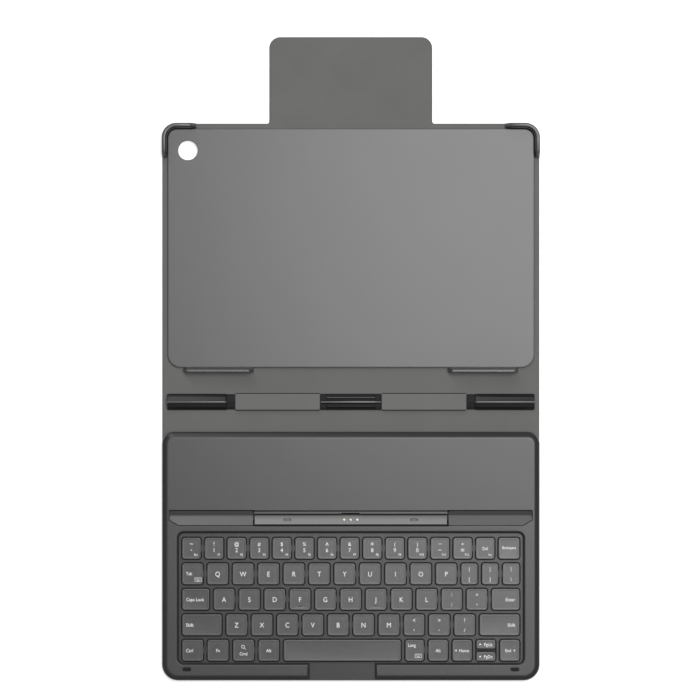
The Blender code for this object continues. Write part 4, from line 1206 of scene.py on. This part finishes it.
# The bar's section, from its lower front corner round the rear to the front; its top follows the slope.
cradle_section = np.array((
    (cradle_front + 0.0002, cradle_low[2]), (cradle_rear - 0.0002, cradle_low[2]),
    (cradle_rear, cradle_low[2] + 0.0002), (cradle_rear, groove_height(cradle_rear) - 0.0003),
    (cradle_rear - 0.0001, groove_height(cradle_rear) - 0.0001),
    (cradle_rear - 0.0004, groove_height(cradle_rear - 0.0004)),
    (cradle_front + 0.0004, groove_height(cradle_front + 0.0004)),
    (cradle_front + 0.0001, groove_height(cradle_front + 0.0001) - 0.0001),
    (cradle_front, groove_height(cradle_front) - 0.0004), (cradle_front, cradle_low[2] + 0.0002),
))
middle = cradle_section.mean(0)
rings = []
for x, grow in ((-1, 0.93), (-0.9975, 0.985), (-0.994, 1.0), (0.994, 1.0), (0.9975, 0.985), (1, 0.93)):
    ring = middle + (cradle_section - middle) * grow
    rings.append(np.column_stack([np.full(len(ring), x * cradle_half), ring]))
cradle = skin_of("cradle_body", rings, [cradle_plastic])


def sloped(outline, levels, x, y):
    """An outline's rings on the cradle's sloping face at x, y; levels are (inset, height over the face)."""
    flat, up = stepped(outline, levels)
    return np.stack([
        x + flat[:, :, 0],
        y + flat[:, :, 1] * normal_z + up * normal_y,
        groove_height(y) - flat[:, :, 1] * normal_y + up * normal_z,
    ], 2)


pin_places = [node_box(f"pogo_pin_{number}")[:, 0].mean() for number in (1, 2, 3)]
pin_y = (cradle_front + cradle_rear) / 2
circle = arc(0, 0, 0.0009, 0, 345, 23)
hole_levels = ((-0.0002, -0.0040), (-0.0002, -0.00005), (-0.00025, 0.0), (-0.00025, 0.0006))
cuts = [skin_of("pin_bore", sloped(circle, hole_levels, x, pin_y), []) for x in pin_places]
board_low, board_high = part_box("contact_board")
board_x, board_y = ((board_low[axis] - 0.0003, board_high[axis] + 0.0003) for axis in (0, 1))
board_room = rounded(*board_x, *board_y, 0.0002, 2)
cuts.append(prism("board_recess", board_room, cradle_low[2] - 0.0005, board_high[2] + 0.0003, []))
oval = rounded(-0.00255, 0.00255, -0.0009, 0.0009, 0.00086, 8)
inner_oval = rounded(-0.00215, 0.00215, -0.0005, 0.0005, 0.00047, 8)
guide_places = (-0.0428, 0.0428)
# Each guide stands in a thin oval groove whose cut faces take the near-black painted shade.
for x in guide_places:
    cuts.append(skin_of("oval_line", sloped(oval, ((0.0, -0.0009), (-0.00004, 0.0004)), x, pin_y), [recess]))
carve(cradle, "DIFFERENCE", cuts)
levels = ((0.0, -0.0012), (0.0, -0.00010), (0.00010, 0.0), (0.00025, 0.00003))
guides = [skin_of("guide", sloped(inner_oval, levels, x, pin_y), [cradle_plastic]) for x in guide_places]
pivot_y, pivot_z = cradle_pivot
# The pivot stubs are coloured with the same near-black painted shade.
for side in (-1, 1):
    turn = np.radians(np.arange(0, 360, 18))
    reach = np.array((cradle_half - 0.003, cradle_high[0] - 0.0002, cradle_high[0]))
    radius = np.array((0.0008, 0.0008, 0.0006))
    ring_y = pivot_y + radius[:, None] * np.cos(turn)
    ring_z = pivot_z + radius[:, None] * np.sin(turn)
    ring_x = np.broadcast_to(side * reach[:, None], ring_y.shape)
    guides.append(skin_of("pivot", np.stack([ring_x, ring_y, ring_z], 2), [recess]))
carve(cradle, "UNION", guides)
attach(cradle, "cradle")
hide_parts("cradle_bar")

for number, x in enumerate(pin_places, 1):
    dome = np.radians(np.linspace(0, 80, 7))
    pin_levels = np.concatenate([
        ((0.0001, -0.0010), (0.0, -0.0009), (0.0, 0.0001)),
        np.stack([0.00002 + 0.00030 * (1 - np.cos(dome)), 0.0003 + 0.0003 * np.sin(dome)], 1),
    ])
    pin = skin_of(f"contact_pin_{number}", sloped(circle, pin_levels, x, pin_y), [pin_brass], angle=50)
    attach(pin, f"pogo_pin_{number}")
    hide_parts(f"pogo_pin_{number}")


# ------------------------------------------------------------------------------------------ stage
# A plain pale table, even studio light from above and the upper right, and a camera straight above.
def floor_finish():
    """Matt white paint that glows a little, so that the table stays pale under soft light."""
    finish = Finish("pale_table", roughness=0.9, specular_ior_level=0.1)
    finish.give(base_color=finish.mix(finish.noise(0.5), grey(0.90), grey(0.93)))
    finish.give(emission_color=(1.0, 1.0, 1.0), emission_strength=0.45)
    return finish.material


table_half, table_height = 6.0, -0.0012
mesh = bpy.data.meshes.new("table_top")
corners = [(x * table_half, y * table_half, table_height) for x, y in ((-1, -1), (1, -1), (1, 1), (-1, 1))]
mesh.from_pydata(corners, [], [(0, 1, 2, 3)])
mesh.materials.append(floor_finish())
table = bpy.data.objects.new("table_top", mesh)
bpy.context.scene.collection.objects.link(table)
table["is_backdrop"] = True

world = bpy.data.worlds.new("studio")
bpy.context.scene.world = world
world.use_nodes = True
backdrop = world.node_tree.nodes["Background"].inputs
backdrop["Color"].default_value = (1.0, 1.0, 1.0, 1.0)
backdrop["Strength"].default_value = 0.16


def panel(name, place, target, width, height, power):
    """A soft light panel that faces its target."""
    light = bpy.data.lights.new(name, "AREA")
    light.shape = "RECTANGLE"
    light.size = width
    light.size_y = height
    light.energy = power
    lamp = bpy.data.objects.new(name, light)
    lamp.location = place
    away = np.array(target) - np.array(place)
    lamp.rotation_euler = (
        math.atan2(math.hypot(away[0], away[1]), -away[2]), 0.0, math.atan2(away[1], away[0]) - math.pi / 2
    )
    bpy.context.scene.collection.objects.link(lamp)


panel("overhead_panel", (0.42, 0.46, 2.3), (0.42, 0.46, 0.0), 1.3, 1.3, 45.0)
panel("front_panel", (0.60, -0.50, 2.3), (0.60, -0.50, 0.0), 0.7, 0.7, 4.8)
panel("side_panel", (-0.8, 1.9, 1.5), grey(0.0), 1.2, 1.2, 14.0)

camera = bpy.data.cameras.new("camera")
camera.sensor_width = 36.0
camera.lens = 142.97143
camera.clip_end = 20.0
eye = bpy.data.objects.new("camera", camera)
eye.location = (-0.00054, 0.00575, 1.8815)
bpy.context.scene.collection.objects.link(eye)
bpy.context.scene.camera = eye
bpy.context.scene.view_settings.view_transform = "Standard"

shown_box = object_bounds()
boxes = {"cad": [list(corner) for corner in cad_box], "visual": [list(corner) for corner in shown_box]}
